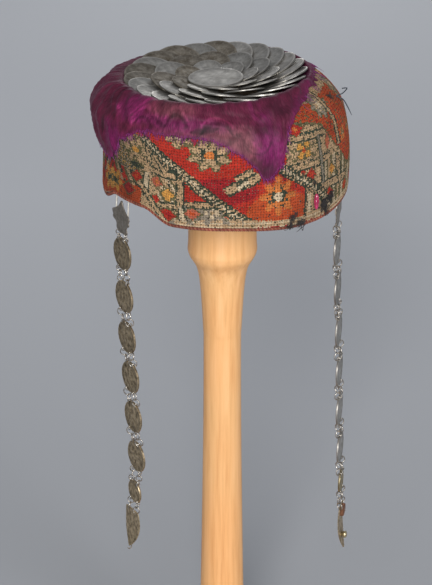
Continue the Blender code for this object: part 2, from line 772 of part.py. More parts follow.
def clasp_pieces(leaf_top, across, outwards):
    """Block at the top of the right plate, and the stud near its end."""
    builder = bmesh.new()
    bmesh.ops.create_cube(builder, size=1.0)
    bmesh.ops.scale(builder, vec=BLOCK_SIZE, verts=builder.verts)
    middle = leaf_top + Vector((0.0, 0.0, -BLOCK_SIZE.z / 2 - BLOCK_DROP)) + outwards * BLOCK_SIZE.y / 2
    block = loose("block", mesh_from(builder, "block"), frame_at(middle, across, outwards))
    builder = bmesh.new()
    bmesh.ops.create_cone(
        builder,
        cap_ends=True,
        segments=RING_SIDES,
        radius1=STUD_RADIUS,
        radius2=STUD_RADIUS,
        depth=STUD_LENGTH,
    )
    flat = Matrix.Rotation(math.radians(90.0), 4, "X")
    stand_off = STUD_LENGTH / 2 + STUD_STAND_OFF
    place = leaf_top + Vector((0.0, 0.0, -STUD_DROP)) + outwards * stand_off
    stud = loose("stud", mesh_from(builder, "stud"), frame_at(place, across, outwards) @ flat)
    return [block, stud]


# Small things in the cloth

def make_bent_pin(group):
    points = [Vector((x * MM, -PIN_FRONT, HEM_HEIGHT + height * MM)) for x, height in PIN_ROUTE]
    mesh = wire_mesh("bent_pin", points, PIN_WIRE_RADIUS, 1)
    add_part("bent_pin", mesh, "dark_wire", group)


def make_glass_bead(group):
    builder = bmesh.new()
    bmesh.ops.create_uvsphere(builder, u_segments=RING_SIDES, v_segments=6, radius=1.0)
    size = Vector((BEAD_RADIUS, BEAD_RADIUS, BEAD_LENGTH / 2))
    bmesh.ops.scale(builder, vec=size, verts=builder.verts)
    mesh = mesh_from(builder, "glass_bead")
    shade_round(mesh)
    bead = add_part("glass_bead", mesh, "pink_glass", group)
    stand_off = BEAD_RADIUS + GAP
    bead.location = inner_wall(BEAD_AZIMUTH, BEAD_CENTRE_HEIGHT / MM, -stand_off)


def main():
    clear_scene()
    group = new_collection("bridal_headdress_on_stand")
    cutters = new_collection("cutters")
    make_stand(group)
    make_cap(group, cutters)
    make_silk(group, cutters)
    make_hem(group)
    make_rosette(group)
    for name, azimuth, front, palmette, leaf, leaf_length in CHAINS:
        make_chain(name, azimuth, front, palmette, leaf, leaf_length, group)
    make_bent_pin(group)
    make_glass_bead(group)


main()
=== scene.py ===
"""Looks of the bridal coin headdress on its wooden stand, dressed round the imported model.

Metres, +Z up, the front of the cap towards -Y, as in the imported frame. Heights in mm are measured
from the plane of the cap's lower edge, and azimuths are degrees from +X, seen from above.
"""
import math

import bpy
import numpy as np
from mathutils import Matrix, Vector


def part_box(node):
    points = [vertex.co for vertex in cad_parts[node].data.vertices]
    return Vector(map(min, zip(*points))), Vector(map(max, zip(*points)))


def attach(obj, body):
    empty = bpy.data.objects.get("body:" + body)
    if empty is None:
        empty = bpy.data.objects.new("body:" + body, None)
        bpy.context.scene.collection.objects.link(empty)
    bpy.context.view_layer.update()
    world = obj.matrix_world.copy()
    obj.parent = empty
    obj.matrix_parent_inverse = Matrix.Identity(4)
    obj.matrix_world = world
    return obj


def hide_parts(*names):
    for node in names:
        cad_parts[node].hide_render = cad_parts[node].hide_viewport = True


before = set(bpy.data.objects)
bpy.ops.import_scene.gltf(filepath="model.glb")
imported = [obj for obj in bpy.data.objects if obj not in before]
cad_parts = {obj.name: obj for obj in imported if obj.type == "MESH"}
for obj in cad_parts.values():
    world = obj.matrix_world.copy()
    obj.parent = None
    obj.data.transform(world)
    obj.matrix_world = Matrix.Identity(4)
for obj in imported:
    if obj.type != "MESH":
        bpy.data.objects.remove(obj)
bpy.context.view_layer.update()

MM = 0.001
ROOT = "root"
UP = Vector((0.0, 0.0, 1.0))
HEM_HEIGHT = 420 * MM

# Photograph's view
LENS = 143.4
CAMERA_TILT = math.radians(24.8)
CAMERA_DISTANCE = 1.72
CAMERA_TARGET = Vector((-4.7 * MM, 0.0, HEM_HEIGHT - 87 * MM))

# Cap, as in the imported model
GAP = 0.3 * MM
CLOTH = 2.5 * MM
HEM_CORD_RADIUS = 1.3 * MM
CAP_EDGE = 2.9
ROSETTE_SIDE = -4.7
CAP_SECTIONS = np.array((
    # height, middle's sideways place, half extent to the left, right, front, back, in mm
    (CAP_EDGE, 0, 86.3, 90.5, 89.5, 89.5),
    (25, 0, 85.5, 91, 91, 91),
    (40, 0, 85, 90, 90.5, 90.5),
    (55, 0, 88.5, 87.5, 89, 88),
    (65, 0, 90.5, 84, 86, 82.5),
    (75, -1, 84.5, 76, 79.5, 73.5),
    (80.5, -3, 77, 67.5, 73.5, 69.5),
    (82, ROSETTE_SIDE, 67, 67, 67, 67),
    (79, ROSETTE_SIDE, 65, 65, 65, 65),
    (72.9, ROSETTE_SIDE, 58, 58, 58, 58),
    (68.6, ROSETTE_SIDE, 50, 50, 50, 50),
    (66, ROSETTE_SIDE, 40, 40, 40, 40),
    (65.3, ROSETTE_SIDE, 34, 34, 34, 34),
))
LAST_LEVEL = len(CAP_SECTIONS) - 1
SHOULDER_LEVEL = 4
RIM_LEVEL = 7
CREASES = (
    # azimuth, half width in degrees, depth, lowest and highest height in mm
    (232, 11, 3, 12, 76),
    (328, 11, 2.5, 8, 70),
)
HEM_WAVES = (
    # azimuth, half width, fade in degrees, rise in mm
    (220, 26, 16, 9.5),
    (312, 42, 38, -4),
)
HEM_WAVE_REACH = 40.0

# Silk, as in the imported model, with the torn edge's finer run
SILK_STAND_OFF = 0.9
SILK_BULGE = 4.5
SILK_BULGE_AZIMUTH = 180.0
SILK_BULGE_HALF_WIDTH = 50.0
SILK_BULGE_LOW = 46.0
SILK_BULGE_HIGH = 76.0
SILK_BULGE_INNER = 75.0
SILK_EDGE = np.array((
    # azimuth, height of the torn edge in mm
    (0, 82), (20, 80), (45, 70), (66, 64), (90, 58), (112, 56), (135, 55), (150, 52), (165, 50),
    (180, 47), (190, 44), (197, 40.5), (205, 36.5), (210, 39), (213, 46), (217.5, 54),
    (223, 60), (234, 65.5), (254, 66.5), (262, 65.5), (271, 62.4), (276, 57.7), (280, 52.9),
    (284.8, 44.9), (287.5, 37.3), (289.5, 36.6), (293.8, 41.7), (297.5, 46), (299, 56),
    (301.2, 64), (305.2, 69.6), (310, 74.3), (315, 76.7), (323, 79.2), (338, 81.8),
))

# Rosette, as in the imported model
ROSETTE_CENTRE = Vector((ROSETTE_SIDE * MM, 0.0, HEM_HEIGHT + 77.8 * MM))
ROSETTE_ROLL = 2.0
COIN_RINGS = (
    # name, coins, ring radius, coin radius, thickness in mm,
    # dish and lean in degrees, height in mm, phase in radians
    ("outer", 23, 48.5, 18.5, 1.2, 28, 14.5, 0, 0),
    ("middle", 12, 32.5, 15, 1, 28, 11, 0.5, 0.13),
    ("inner", 8, 21, 11.5, 0.9, 26, 9.75, 0.75, 0.3),
)
CENTRE_COIN = (20.0, 1.5, 2.75)  # radius, thickness, height in mm
COIN_SETTLE = {
    # degrees less dish, degrees less lean, mm inwards and mm higher than the solid
    "outer": (8.0, 4.0, 0.5, 1.2),
    "middle": (8.0, 1.5, 0.3, 1.0),
    "inner": (7.0, 1.75, 0.2, 0.7),
}
NEAR_SETTLE = 3.0  # degrees that the coins at the front lie flatter still
TARNISH_MIDDLE = 155.0  # azimuth of the coins with brown tarnish
TARNISH_REACH = 62.0

# Chains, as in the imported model
CHAIN_COIN_RADIUS = 12.5
SMALL_COIN_RADIUS = 9.2
CHAIN_COIN_THICKNESS = 1.2
COLUMN_OFFSET = 5 * MM
HOLE_INSET = 1.8 * MM
PLATE_HOLE_INSET = 1.2 * MM
PALMETTE_HALF_HEIGHT = 12.3 * MM
CHAINS = (
    # name, hang azimuth, distance in front of the axis, palmette, leaf's top edge, leaf's length
    ("chain_left", 210.7, 44, (-71.2, -8), (-67.4, -245), 31),
    ("chain_right", -12, 18, (82.6, -13.2), (90.4, -256.4), 36.8),
)
CHAIN_COINS = {
    # sideways place and height of each coin's middle in mm
    "chain_left": (
        (-71.3, -36.2), (-70.5, -69.9), (-69.1, -102.2), (-67, -134.6), (-65.5, -167.3),
        (-63.6, -200.2), (-65.3, -230),
    ),
    "chain_right": (
        (82.9, -44), (84, -75.9), (85.4, -109.1), (86.6, -142), (87.4, -174.6), (88.6, -206.8),
        (89.8, -235.6),
    ),
}

# Stand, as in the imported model
POST_HEAD = (
    # drop below the head's flat top, radius in mm
    (0, 20), (2.4, 31), (8, 41), (15, 45), (23, 42), (33, 31), (41, 25),
)
POST_SHAFT = (
    # height above the hem, radius in mm
    (-39, 25), (-53, 25.1), (-65, 19.1), (-81, 16.4), (-114, 14.4), (-130, 14), (-211, 14.6),
    (-340, 16.7),
)
POST_FOOT = (-399.7, 18.0)
FOOT_PROFILE = (
    # radius, height in mm
    (0, 20), (60, 20), (74, 19.7), (77.5, 18.6), (79.4, 16.4), (80, 13), (80, 2), (79.2, 0.5),
    (78, 0), (0, 0),
)

PALETTE = {
    # linear colours of the wool
    "red": (0.46, 0.034, 0.020),
    "crimson": (0.34, 0.018, 0.022),
    "orange_red": (0.50, 0.080, 0.022),
    "orange": (0.60, 0.19, 0.050),
    "ochre": (0.66, 0.33, 0.075),
    "beige": (0.53, 0.365, 0.215),
    "pale": (0.64, 0.52, 0.36),
    "salmon": (0.52, 0.14, 0.080),
    "green": (0.045, 0.062, 0.042),
    "olive": (0.15, 0.135, 0.065),
    "grey": (0.29, 0.25, 0.195),
    "dark": (0.028, 0.022, 0.020),
}

WHITE = (1.0, 1.0, 1.0)

rng = np.random.default_rng(7)


# Helpers

def smooth_step(value):
    share = np.clip(value, 0.0, 1.0)
    return share * share * (3.0 - 2.0 * share)


def angle_between(azimuth, other):
    return np.abs((azimuth - other + 180.0) % 360.0 - 180.0)


def all_round(count):
    """So many azimuths or turns in degrees, at even steps."""
    return np.linspace(0.0, 360.0, count, endpoint=False)


def unit(vectors):
    return vectors / np.maximum(np.linalg.norm(vectors, axis=-1, keepdims=True), 1e-12)


def read_table(places, table):
    """A table's second column, read at places along its first."""
    return np.interp(places, *np.array(table).T)


def catmull_rom(rows, places):
    """Rows read at fractional places along a smooth line through them."""
    last = len(rows) - 1
    here = np.clip(np.floor(places).astype(int), 0, last - 1)
    share = (places - here)[..., None]
    before = rows[np.clip(here - 1, 0, last)]
    start = rows[here]
    end = rows[here + 1]
    after = rows[np.clip(here + 2, 0, last)]
    return 0.5 * (
        2 * start
        + (end - before) * share
        + (2 * before - 5 * start + 4 * end - after) * share**2
        + (3 * start - before - 3 * end + after) * share**3
    )


def smooth_path(points, steps):
    """Smooth line of so many steps through the points."""
    points = np.asarray(points, float)
    return catmull_rom(points, np.linspace(0.0, len(points) - 1.0, steps))


def waviness(u, v, seed, waves, longest, shortest):
    """Soft random height field of unit size from a few sine waves."""
    draw = np.random.default_rng(seed)
    total = 0.0
    for wave in range(waves):
        length = longest * (shortest / longest) ** (wave / (waves - 1))
        turn = draw.uniform(0.0, math.tau)
        phase = draw.uniform(0.0, math.tau)
        total = total + np.sin((u * math.cos(turn) + v * math.sin(turn)) * math.tau / length + phase)
    return total / math.sqrt(waves)


def paint(mesh, name, colours, domain="POINT"):
    """Colour attribute from one grey or one colour for each point or corner."""
    colours = np.asarray(colours, float)
    if colours.ndim == 1:
        colours = np.repeat(colours[:, None], 3, 1)
    opaque = np.ones((len(colours), 1))
    layer = mesh.color_attributes.new(name, "FLOAT_COLOR", domain)
    layer.data.foreach_set("color", np.concatenate((colours, opaque), 1).ravel())


def add_piece(mesh, material, *nodes, slot):
    """Object that rides on the body with the material given and stands for the CAD nodes, which it hides; a
    silver piece without a painted tone gets an even one.
    """
    if slot == "silver" and "tone_and_painted_shading" not in mesh.color_attributes:
        paint(mesh, "tone_and_painted_shading", np.ones(len(mesh.vertices)))
    mesh.materials.append(material)
    piece = bpy.data.objects.new(mesh.name, mesh)
    bpy.context.scene.collection.objects.link(piece)
    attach(piece, ROOT)
    if nodes:
        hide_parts(*nodes)
    return piece


def thicken(piece, thickness, offset):
    wall = piece.modifiers.new("wall", "SOLIDIFY")
    wall.thickness = thickness
    wall.offset = offset


def mesh_of(name, points, faces, smooth=True):
    mesh = bpy.data.meshes.new(name)
    mesh.from_pydata([tuple(point) for point in points], [], faces)
    mesh.polygons.foreach_set("use_smooth", [smooth] * len(mesh.polygons))
    mesh.update()
    return mesh


def joined(name, parts, smooth=True):
    """One mesh of several (points, faces) parts."""
    points = []
    faces = []
    for part_points, part_faces in parts:
        first = len(points)
        points.extend(part_points)
        faces.extend([corner + first for corner in face] for face in part_faces)
    return mesh_of(name, points, faces, smooth)


def grid_faces(steps, sides, closed=False, wrapped=True, first=0, flipped=False):
    """Quads of a grid of points counted along its sides, step by step, each way joined round or not."""
    faces = []
    for step in range(steps if closed else steps - 1):
        here = first + step * sides
        after = first + (step + 1) % steps * sides
        for side in range(sides if wrapped else sides - 1):
            other = (side + 1) % sides
            face = (here + side, here + other, after + other, after + side)
            faces.append((face[0], face[3], face[2], face[1]) if flipped else face)
    return faces


def tube(path, radius, sides, closed=False):
    """Points and faces of a tube along a path; radius is one number or one for each point."""
    path = np.asarray(path, float)
    count = len(path)
    radii = np.broadcast_to(np.asarray(radius, float), (count,))
    if closed:
        along = unit(np.roll(path, -1, 0) - np.roll(path, 1, 0))
    else:
        along = unit(np.gradient(path, axis=0))
    side = np.cross(along[0], (0.0, 0.0, 1.0))
    if np.linalg.norm(side) < 0.1:
        side = np.cross(along[0], (1.0, 0.0, 0.0))
    turns = np.radians(all_round(sides))[:, None]
    points = []
    for step in range(count):
        side = unit(side - along[step] * side.dot(along[step]))
        other = np.cross(along[step], side)
        points.extend(path[step] + (side * np.cos(turns) + other * np.sin(turns)) * radii[step])
    faces = grid_faces(count, sides, closed)
    if not closed:
        last = (count - 1) * sides
        faces += [tuple(range(sides - 1, -1, -1)), tuple(range(last, last + sides))]
    return points, faces


# Materials

class Look:
    """Material in the making: its shader, and the nodes that feed it."""

    def __init__(self, name, colour, roughness, metallic=0.0):
        self.material = bpy.data.materials.new(name)
        self.material.use_nodes = True
        self.material.diffuse_color = (*colour, 1.0)
        self.shader = self.material.node_tree.nodes["Principled BSDF"]
        self.shade({"Base Color": colour, "Roughness": roughness, "Metallic": metallic})

    def feed(self, node, inputs):
        """Link a node's inputs to sockets, or set them to colours and numbers."""
        for name, value in inputs.items():
            socket = node.inputs[name]
            if isinstance(value, bpy.types.NodeSocket):
                self.material.node_tree.links.new(value, socket)
            elif socket.type == "RGBA":
                socket.default_value = (*value, 1.0)
            else:
                socket.default_value = value

    def shade(self, inputs):
        self.feed(self.shader, inputs)

    def node(self, kind, **inputs):
        """New node; its inputs are given by their names."""
        node = self.material.node_tree.nodes.new("ShaderNode" + kind)
        self.feed(node, inputs)
        return node

    def place(self, stretch=(1.0, 1.0, 1.0), source=None):
        """Place on the object, or on the source given, stretched."""
        if source is None:
            source = self.node("TexCoord").outputs["Object"]
        return self.node("Mapping", Vector=source, Scale=stretch).outputs["Vector"]

    def noise(self, scale, detail, roughness, place=None):
        if place is None:
            place = self.place()
        texture = self.node("TexNoise", Vector=place, Scale=scale, Detail=detail, Roughness=roughness)
        return texture.outputs["Fac"]

    def ramp(self, value, *stops):
        """Colour ramp from (place, colour) stops."""
        node = self.node("ValToRGB", Fac=value)
        elements = node.color_ramp.elements
        while len(elements) < len(stops):
            elements.new(0.5)
        for element, (place, colour) in zip(elements, stops):
            element.position = place
            element.color = (*colour, 1.0)
        return node.outputs["Color"]

    def times(self, first, second, share=1.0):
        """Product of two colours."""
        node = self.node("Mix")
        node.data_type = "RGBA"
        node.blend_type = "MULTIPLY"
        self.feed(node, {0: share, 6: first, 7: second})
        return node.outputs[2]

    def painted(self, name):
        """Colour painted on the mesh."""
        node = self.node("Attribute")
        node.attribute_name = name
        return node.outputs["Color"]

    def bump(self, height, strength, distance):
        node = self.node("Bump", Height=height, Strength=strength, Distance=distance)
        self.shade({"Normal": node.outputs["Normal"]})


def wood_material():
    """Pale turned wood: long grain up the post, soft blotches."""
    look = Look("pale_wood", (0.80, 0.50, 0.25), 0.5)
    grain = look.noise(260.0, 6.0, 0.65, look.place((1.0, 1.0, 0.045)))
    blotch = look.noise(28.0, 3.0, 0.5, look.place((1.0, 1.0, 0.35)))
    grains = ((0.30, (0.66, 0.34, 0.13)), (0.52, (0.77, 0.44, 0.19)), (0.75, (0.83, 0.50, 0.245)))
    tint = look.ramp(blotch, (0.35, (1.0, 0.90, 0.82)), (0.65, WHITE))
    look.shade({"Base Color": look.times(look.ramp(grain, *grains), tint)})
    look.bump(grain, 0.25, 0.0004)
    return look.material


def wool_material():
    """Cross-stitched wool: colour from the chart with painted shade and highlight on each stitch, with fuzz
    and grime.
    """
    look = Look("stitched_wool", (0.42, 0.10, 0.06), 0.95)
    fuzz = look.noise(1900.0, 3.0, 0.7)
    fuzz_tint = look.ramp(fuzz, (0.3, (0.62, 0.60, 0.58)), (0.7, (1.25, 1.22, 1.18)))
    grime_tint = look.ramp(look.noise(60.0, 4.0, 0.6), (0.3, (0.78, 0.74, 0.70)), (0.62, WHITE))
    wool = look.times(look.painted("stitch"), fuzz_tint)
    look.shade({
        "Base Color": look.times(wool, grime_tint, 0.8),
        "Sheen Weight": 0.06,
        "Sheen Roughness": 0.6,
        "Specular IOR Level": 0.1,
    })
    look.bump(fuzz, 0.5, 0.0003)
    return look.material


def silk_material():
    """Worn silk damask: dye painted on the mesh, weave threads by the cloth's own lay."""
    look = Look("plum_silk", (0.20, 0.03, 0.13), 0.55)
    cloth = look.node("UVMap")
    cloth.uv_map = "lay"
    lay = cloth.outputs["UV"]
    warp = look.noise(1500.0, 4.0, 0.7, look.place((1.0, 0.13, 1.0), lay))
    weft = look.noise(1100.0, 3.0, 0.6, look.place((0.12, 1.0, 1.0), lay))
    warp_tint = look.ramp(warp, (0.34, (0.50, 0.42, 0.48)), (0.66, (1.42, 1.50, 1.42)))
    weft_tint = look.ramp(weft, (0.30, (0.86, 0.84, 0.85)), (0.70, (1.08, 1.06, 1.06)))
    dyed = look.times(look.painted("dye"), warp_tint)
    look.shade({
        "Base Color": look.times(dyed, weft_tint, 0.7),
        "Specular IOR Level": 0.22,
        "Sheen Weight": 0.07,
        "Sheen Roughness": 0.4,
        "Sheen Tint": (0.75, 0.35, 0.60),
    })
    look.bump(warp, 0.6, 0.0003)
    return look.material


def silver_material(name, rubbed, tarnished, roughness, patches, metallic):
    """Worn silver: tarnish in soft clouds, brighter and smoother where it is rubbed."""
    look = Look(name, rubbed, roughness, metallic)
    cloud = look.noise(patches, 5.0, 0.65)
    fine = look.noise(900.0, 3.0, 0.7)
    tone = look.ramp(cloud, (0.34, tarnished), (0.62, rubbed))
    speck = look.ramp(fine, (0.3, (0.82, 0.82, 0.80)), (0.6, WHITE))
    gloss = look.node("MapRange", Value=cloud)
    look.feed(gloss, {
        "From Min": 0.3,
        "From Max": 0.7,
        "To Min": roughness + 0.12,
        "To Max": roughness - 0.08,
    })
    # The painted attribute carries each coin's own tone with painted shade inside the rim and a painted
    # highlight on its crest; other silver pieces carry an even tone
    look.shade({
        "Base Color": look.times(look.times(tone, speck), look.painted("tone_and_painted_shading")),
        "Roughness": gloss.outputs["Result"],
    })
    look.bump(fine, 0.12, 0.0002)
    return look.material


def cord_material():
    look = Look("hem_cord", (0.25, 0.07, 0.05), 0.9)
    fibre = look.noise(1400.0, 3.0, 0.7)
    tint = look.ramp(fibre, (0.3, (0.42, 0.42, 0.42)), (0.7, (0.95, 0.92, 0.90)))
    look.shade({"Base Color": look.times(look.painted("strand"), tint)})
    look.bump(fibre, 0.5, 0.0003)
    return look.material


def cotton_material():
    """Coarse unbleached lining."""
    look = Look("lining_cotton", (0.34, 0.26, 0.18), 0.95)
    weave = look.node("TexWave", Vector=look.place(), Scale=420.0, Distortion=2.0)
    stain = look.noise(45.0, 4.0, 0.6)
    look.shade({"Base Color": look.ramp(stain, (0.3, (0.20, 0.14, 0.09)), (0.65, (0.40, 0.31, 0.22)))})
    look.bump(weave.outputs["Fac"], 0.3, 0.0003)
    return look.material


def thread_material(name, colour):
    look = Look(name, colour, 0.7)
    low = tuple(channel * 0.55 for channel in colour)
    look.shade({"Base Color": look.ramp(look.noise(500.0, 2.0, 0.6), (0.35, low), (0.65, colour))})
    return look.material


def glass_material():
    look = Look("pink_glass", (0.55, 0.04, 0.14), 0.12)
    swirl = look.noise(700.0, 2.0, 0.5, look.place((1.0, 1.0, 0.3)))
    tone = look.ramp(swirl, (0.35, (0.24, 0.008, 0.045)), (0.65, (0.52, 0.04, 0.13)))
    look.shade({"Base Color": tone, "Coat Weight": 0.6})
    return look.material


# Cap's form

def crease_depth(azimuth, height):
    depth = 0.0
    for middle, half_width, deepest, low, high in CREASES:
        across = smooth_step(1.0 - angle_between(azimuth, middle) / half_width)
        up = np.clip((height - low) / (high - low), 0.0, 1.0)
        depth = depth + deepest * across * np.sin(math.pi * up)
    return depth


def hem_rise(azimuth, height):
    rise = 0.0
    for middle, half_width, fade, most in HEM_WAVES:
        rise = rise + most * smooth_step((half_width - angle_between(azimuth, middle)) / fade)
    return rise * np.clip(1.0 - height / HEM_WAVE_REACH, 0.0, None)


def cap_points(azimuth, level):
    """Points of the cap's outer face in mm from the hem's plane, for arrays of the same shape."""
    row = catmull_rom(CAP_SECTIONS, level)
    height, middle, left, right, front, back = np.moveaxis(row, -1, 0)
    cosine = np.cos(np.radians(azimuth))
    sine = np.sin(np.radians(azimuth))
    x = middle + cosine * np.where(cosine > 0.0, right, left)
    y = sine * np.where(sine > 0.0, back, front)
    inwards = 1.0 - crease_depth(azimuth, height) / np.maximum(np.hypot(x, y), 1.0)
    x = x * inwards
    y = y * inwards
    lean = smooth_step((level - SHOULDER_LEVEL) / (RIM_LEVEL - SHOULDER_LEVEL))
    tilt = (x - ROSETTE_SIDE) * math.tan(math.radians(ROSETTE_ROLL)) * lean
    return np.stack((x, y, height + hem_rise(azimuth, height) + tilt), -1)


def cap_normals(azimuth, level):
    step = 0.01
    across = cap_points(azimuth + step, level) - cap_points(azimuth - step, level)
    upper = cap_points(azimuth, np.minimum(level + step, LAST_LEVEL))
    lower = cap_points(azimuth, np.maximum(level - step, 0.0))
    return unit(np.cross(across, upper - lower))


def off_cap(azimuth, level, distance):
    """Points at a distance in mm outside the cap's outer face."""
    return cap_points(azimuth, level) + cap_normals(azimuth, level) * np.asarray(distance)[..., None]


def to_world(points):
    return points * MM + np.array((0.0, 0.0, HEM_HEIGHT))


def level_at_height(azimuth, height):
    """Fractional row where the cap's outer face passes a height, at each azimuth."""
    levels = np.linspace(0.0, RIM_LEVEL, 141)
    found = []
    for here, target in zip(azimuth, height):
        heights = cap_points(np.full_like(levels, here), levels)[:, 2]
        found.append(np.interp(target, np.maximum.accumulate(heights), levels))
    return np.array(found)


def ring_mesh(name, points, *more_faces):
    """Mesh of columns of points that stand side by side, all the way round."""
    columns, rows = points.shape[:2]
    faces = grid_faces(columns, rows, closed=True, wrapped=False, flipped=True)
    return mesh_of(name, points.reshape(-1, 3), faces + list(more_faces))


# Embroidery, charted on the cloth laid flat

CHART_SCALE = 1.553  # mm across for each degree of azimuth
CHART_MIDDLE = 270.0  # azimuth of the chart's middle line
STITCHES_ROUND = 560
STITCH_ROWS = 92
STITCH_RAISE = 0.32
HOLE_DEPTH = 0.35
CHART_STRAY = 0.34  # how far a stitch may stray from its place on the chart, in mm
CHART_LEFT = -100.0  # the chart repeats mirrored beyond these two lines
CHART_RIGHT = 119.0
UNDER_SILK = 5.0  # how far the stitches go on under the silk, in mm
STITCHES_LOST = 0.012
STRAY_OLIVE = 0.10  # shares of odd stitches in the pale grounds
STRAY_GREEN = 0.025
LINING_DEPTH = 0.25
LEFT_SEAM = -64.0  # places of the seams between the cap's pieces of cloth
RIGHT_SEAM = 60.6
PLAIN_AZIMUTH = 340.0  # where the cloth's run up the wall is measured
SHOULDER_ROWS = (
    # height of the cloth in mm, place on the flat chart
    (0, 0), (65, 65), (75, 77.8), (80.5, 87.9), (82, 93.3),
)
BARS = (
    # first end, second end on the chart, half width of the core, colour
    (-56.7, 58, -58.2, 43.6, 1.7, "beige"),
    (-57.2, 39, -33, 38.6, 1.8, "beige"),
    (-31.1, 38.8, -31.4, 17.9, 2.2, "beige"),
    (-61.3, 33.4, -60.3, 16, 1.7, "pale"),
    (-56, 10.5, -36.5, 16.6, 1.6, "beige"),
    (-25.2, 19.3, 0.5, 20.4, 1.6, "beige"),
    (-30.3, 14.5, -28.7, 3, 1.9, "pale"),
    (-72, 29, -45, 4, 1.6, "beige"),
    (-54, 53, -44, 41, 1.3, "beige"),
    (47, 62.2, 84, 59.6, 1.7, "beige"),
    (46, 41.6, 90, 40.6, 1.8, "beige"),
    (72, 23.6, 112, 19.6, 2.2, "beige"),
    (76.5, 58, 78.5, 26, 1.2, "grey"),
    (99, 36, 101.5, 19, 1.6, "beige"),
    (100.5, 93, 102.5, 46, 1.3, "beige"),
)
CHART_SIDE_TONE = (
    # place across the chart, share of the wool's colour kept there, darker towards the sides
    (-100, 0.62), (-78, 0.62), (-52, 1), (40, 1), (72, 0.80), (119, 0.76),
)
LEAVES = (
    # as the bars, drawn over the flowers
    (4.4, 31.2, 9, 33.8, 2.8, "beige"),
    (12.6, 34.6, 23, 39.2, 2.6, "beige"),
    (9.6, 39.6, 20, 44, 1.3, "beige"),
    (11, 33, 16, 36.6, 1.4, "pale"),
)
BAR_OUTLINE = 1.2
DOT_PITCH = 3.3
DIAMONDS = (
    # middle on the chart, half width, half height, colour, heart's colour
    (-51.2, 30.6, 5.2, 5, "salmon", "orange"),
    (-41, 24.2, 5.6, 5.2, "ochre", "ochre"),
    (-40.6, 9.2, 6.4, 4.6, "red", "crimson"),
    (-22, 12.8, 6.2, 4.6, "salmon", "orange_red"),
    (-69.6, 29.6, 5, 5.2, "red", "orange_red"),
    (-83, 25.6, 3.6, 3.6, "red", "red"),
    (-77.3, 15.7, 6.2, 6.2, "crimson", "red"),
    (-50.5, 16.8, 4, 3.2, "red", "red"),
    (4, 12.2, 4.2, 3, "salmon", "red"),
    (65.8, 34, 4.6, 4.2, "red", "orange_red"),
    (87, 15.8, 5.4, 4.2, "red", "orange_red"),
    (56.4, 67.6, 9, 4.6, "red", "orange"),
    (88.5, 51, 3.6, 6.4, "salmon", "orange"),
    (92, 30.5, 3.4, 4, "ochre", "orange"),
    (110.5, 12, 5, 4, "orange_red", "red"),
)
FLOWERS = (
    # middle, radius, breadth, petals, turn in degrees, petals' colour, gaps, heart, marks
    (-9.4, 56.2, 12.6, 1.17, 8, 22.5, "beige", "olive", "orange", "green"),
    (38.5, 24.6, 13.2, 1, 8, 0, "orange", "orange_red", "pale", "green"),
    (-68.6, 51, 10.5, 1, 6, 10, "beige", "olive", "ochre", "olive"),
    (-95, 16.5, 10.5, 1, 6, 0, "ochre", "orange_red", "green", "olive"),
    (-7.8, 14.4, 5.4, 1, 4, 0, "pale", "grey", "beige", "grey"),
    (94.5, 77.5, 10.5, 1, 8, 0, "grey", "olive", "pale", "beige"),
    (-30, 66.2, 8, 1.2, 5, 30, "beige", "olive", "pale", "olive"),
    (61, 52.5, 6.8, 1, 4, 45, "ochre", "olive", "orange_red", "olive"),
    (111, 50, 6, 1, 4, 45, "orange", "orange_red", "beige", "olive"),
)
DOTTED_BANDS = (
    # corners of a band of small checks, its half width
    (((-60, 60.5), (-52, 55.8), (-26.7, 39), (-12.7, 28.6), (6.2, 14), (20, 5)), 3.3),
    (((42, 43), (64.4, 28.4), (78, 18), (86, 8)), 3),
)
RED_SHADES = (
    # middle, half width, half height of a field in another red
    (-2, 30, 26, 10, "crimson"),
    (44, 40, 12, 5, "crimson"),
    (40, 14, 24, 14, "orange_red"),
)
FRONT_LINE = ((-62, 62), (-52.5, 55.8), (-26.4, 39), (6.2, 14), (20, 4))
FIELD_LINE = ((60, 70.5), (78, 66), (84, 62.5), (112, 28), (119, 24))
BORDER_TOP = ((-60, 3.6), (-40, 4.6), (-26, 7.6), (0, 9.6), (20, 8.6), (56, 8), (76, 7))
PILE_SPECKLES = ((0.0, "olive"), (0.34, "beige"), (0.56, "grey"), (0.76, "green"), (0.92, "ochre"))


def chart_place(azimuth):
    return (azimuth - CHART_MIDDLE) * CHART_SCALE


def line_measures(x, s, x0, s0, x1, s1):
    """Distance from a line, place along it, and its length, on the chart."""
    length = math.hypot(x1 - x0, s1 - s0)
    along_x = (x1 - x0) / length
    along_s = (s1 - s0) / length
    along = (x - x0) * along_x + (s - s0) * along_s
    across = (s - s0) * along_x - (x - x0) * along_s
    return across, along, length


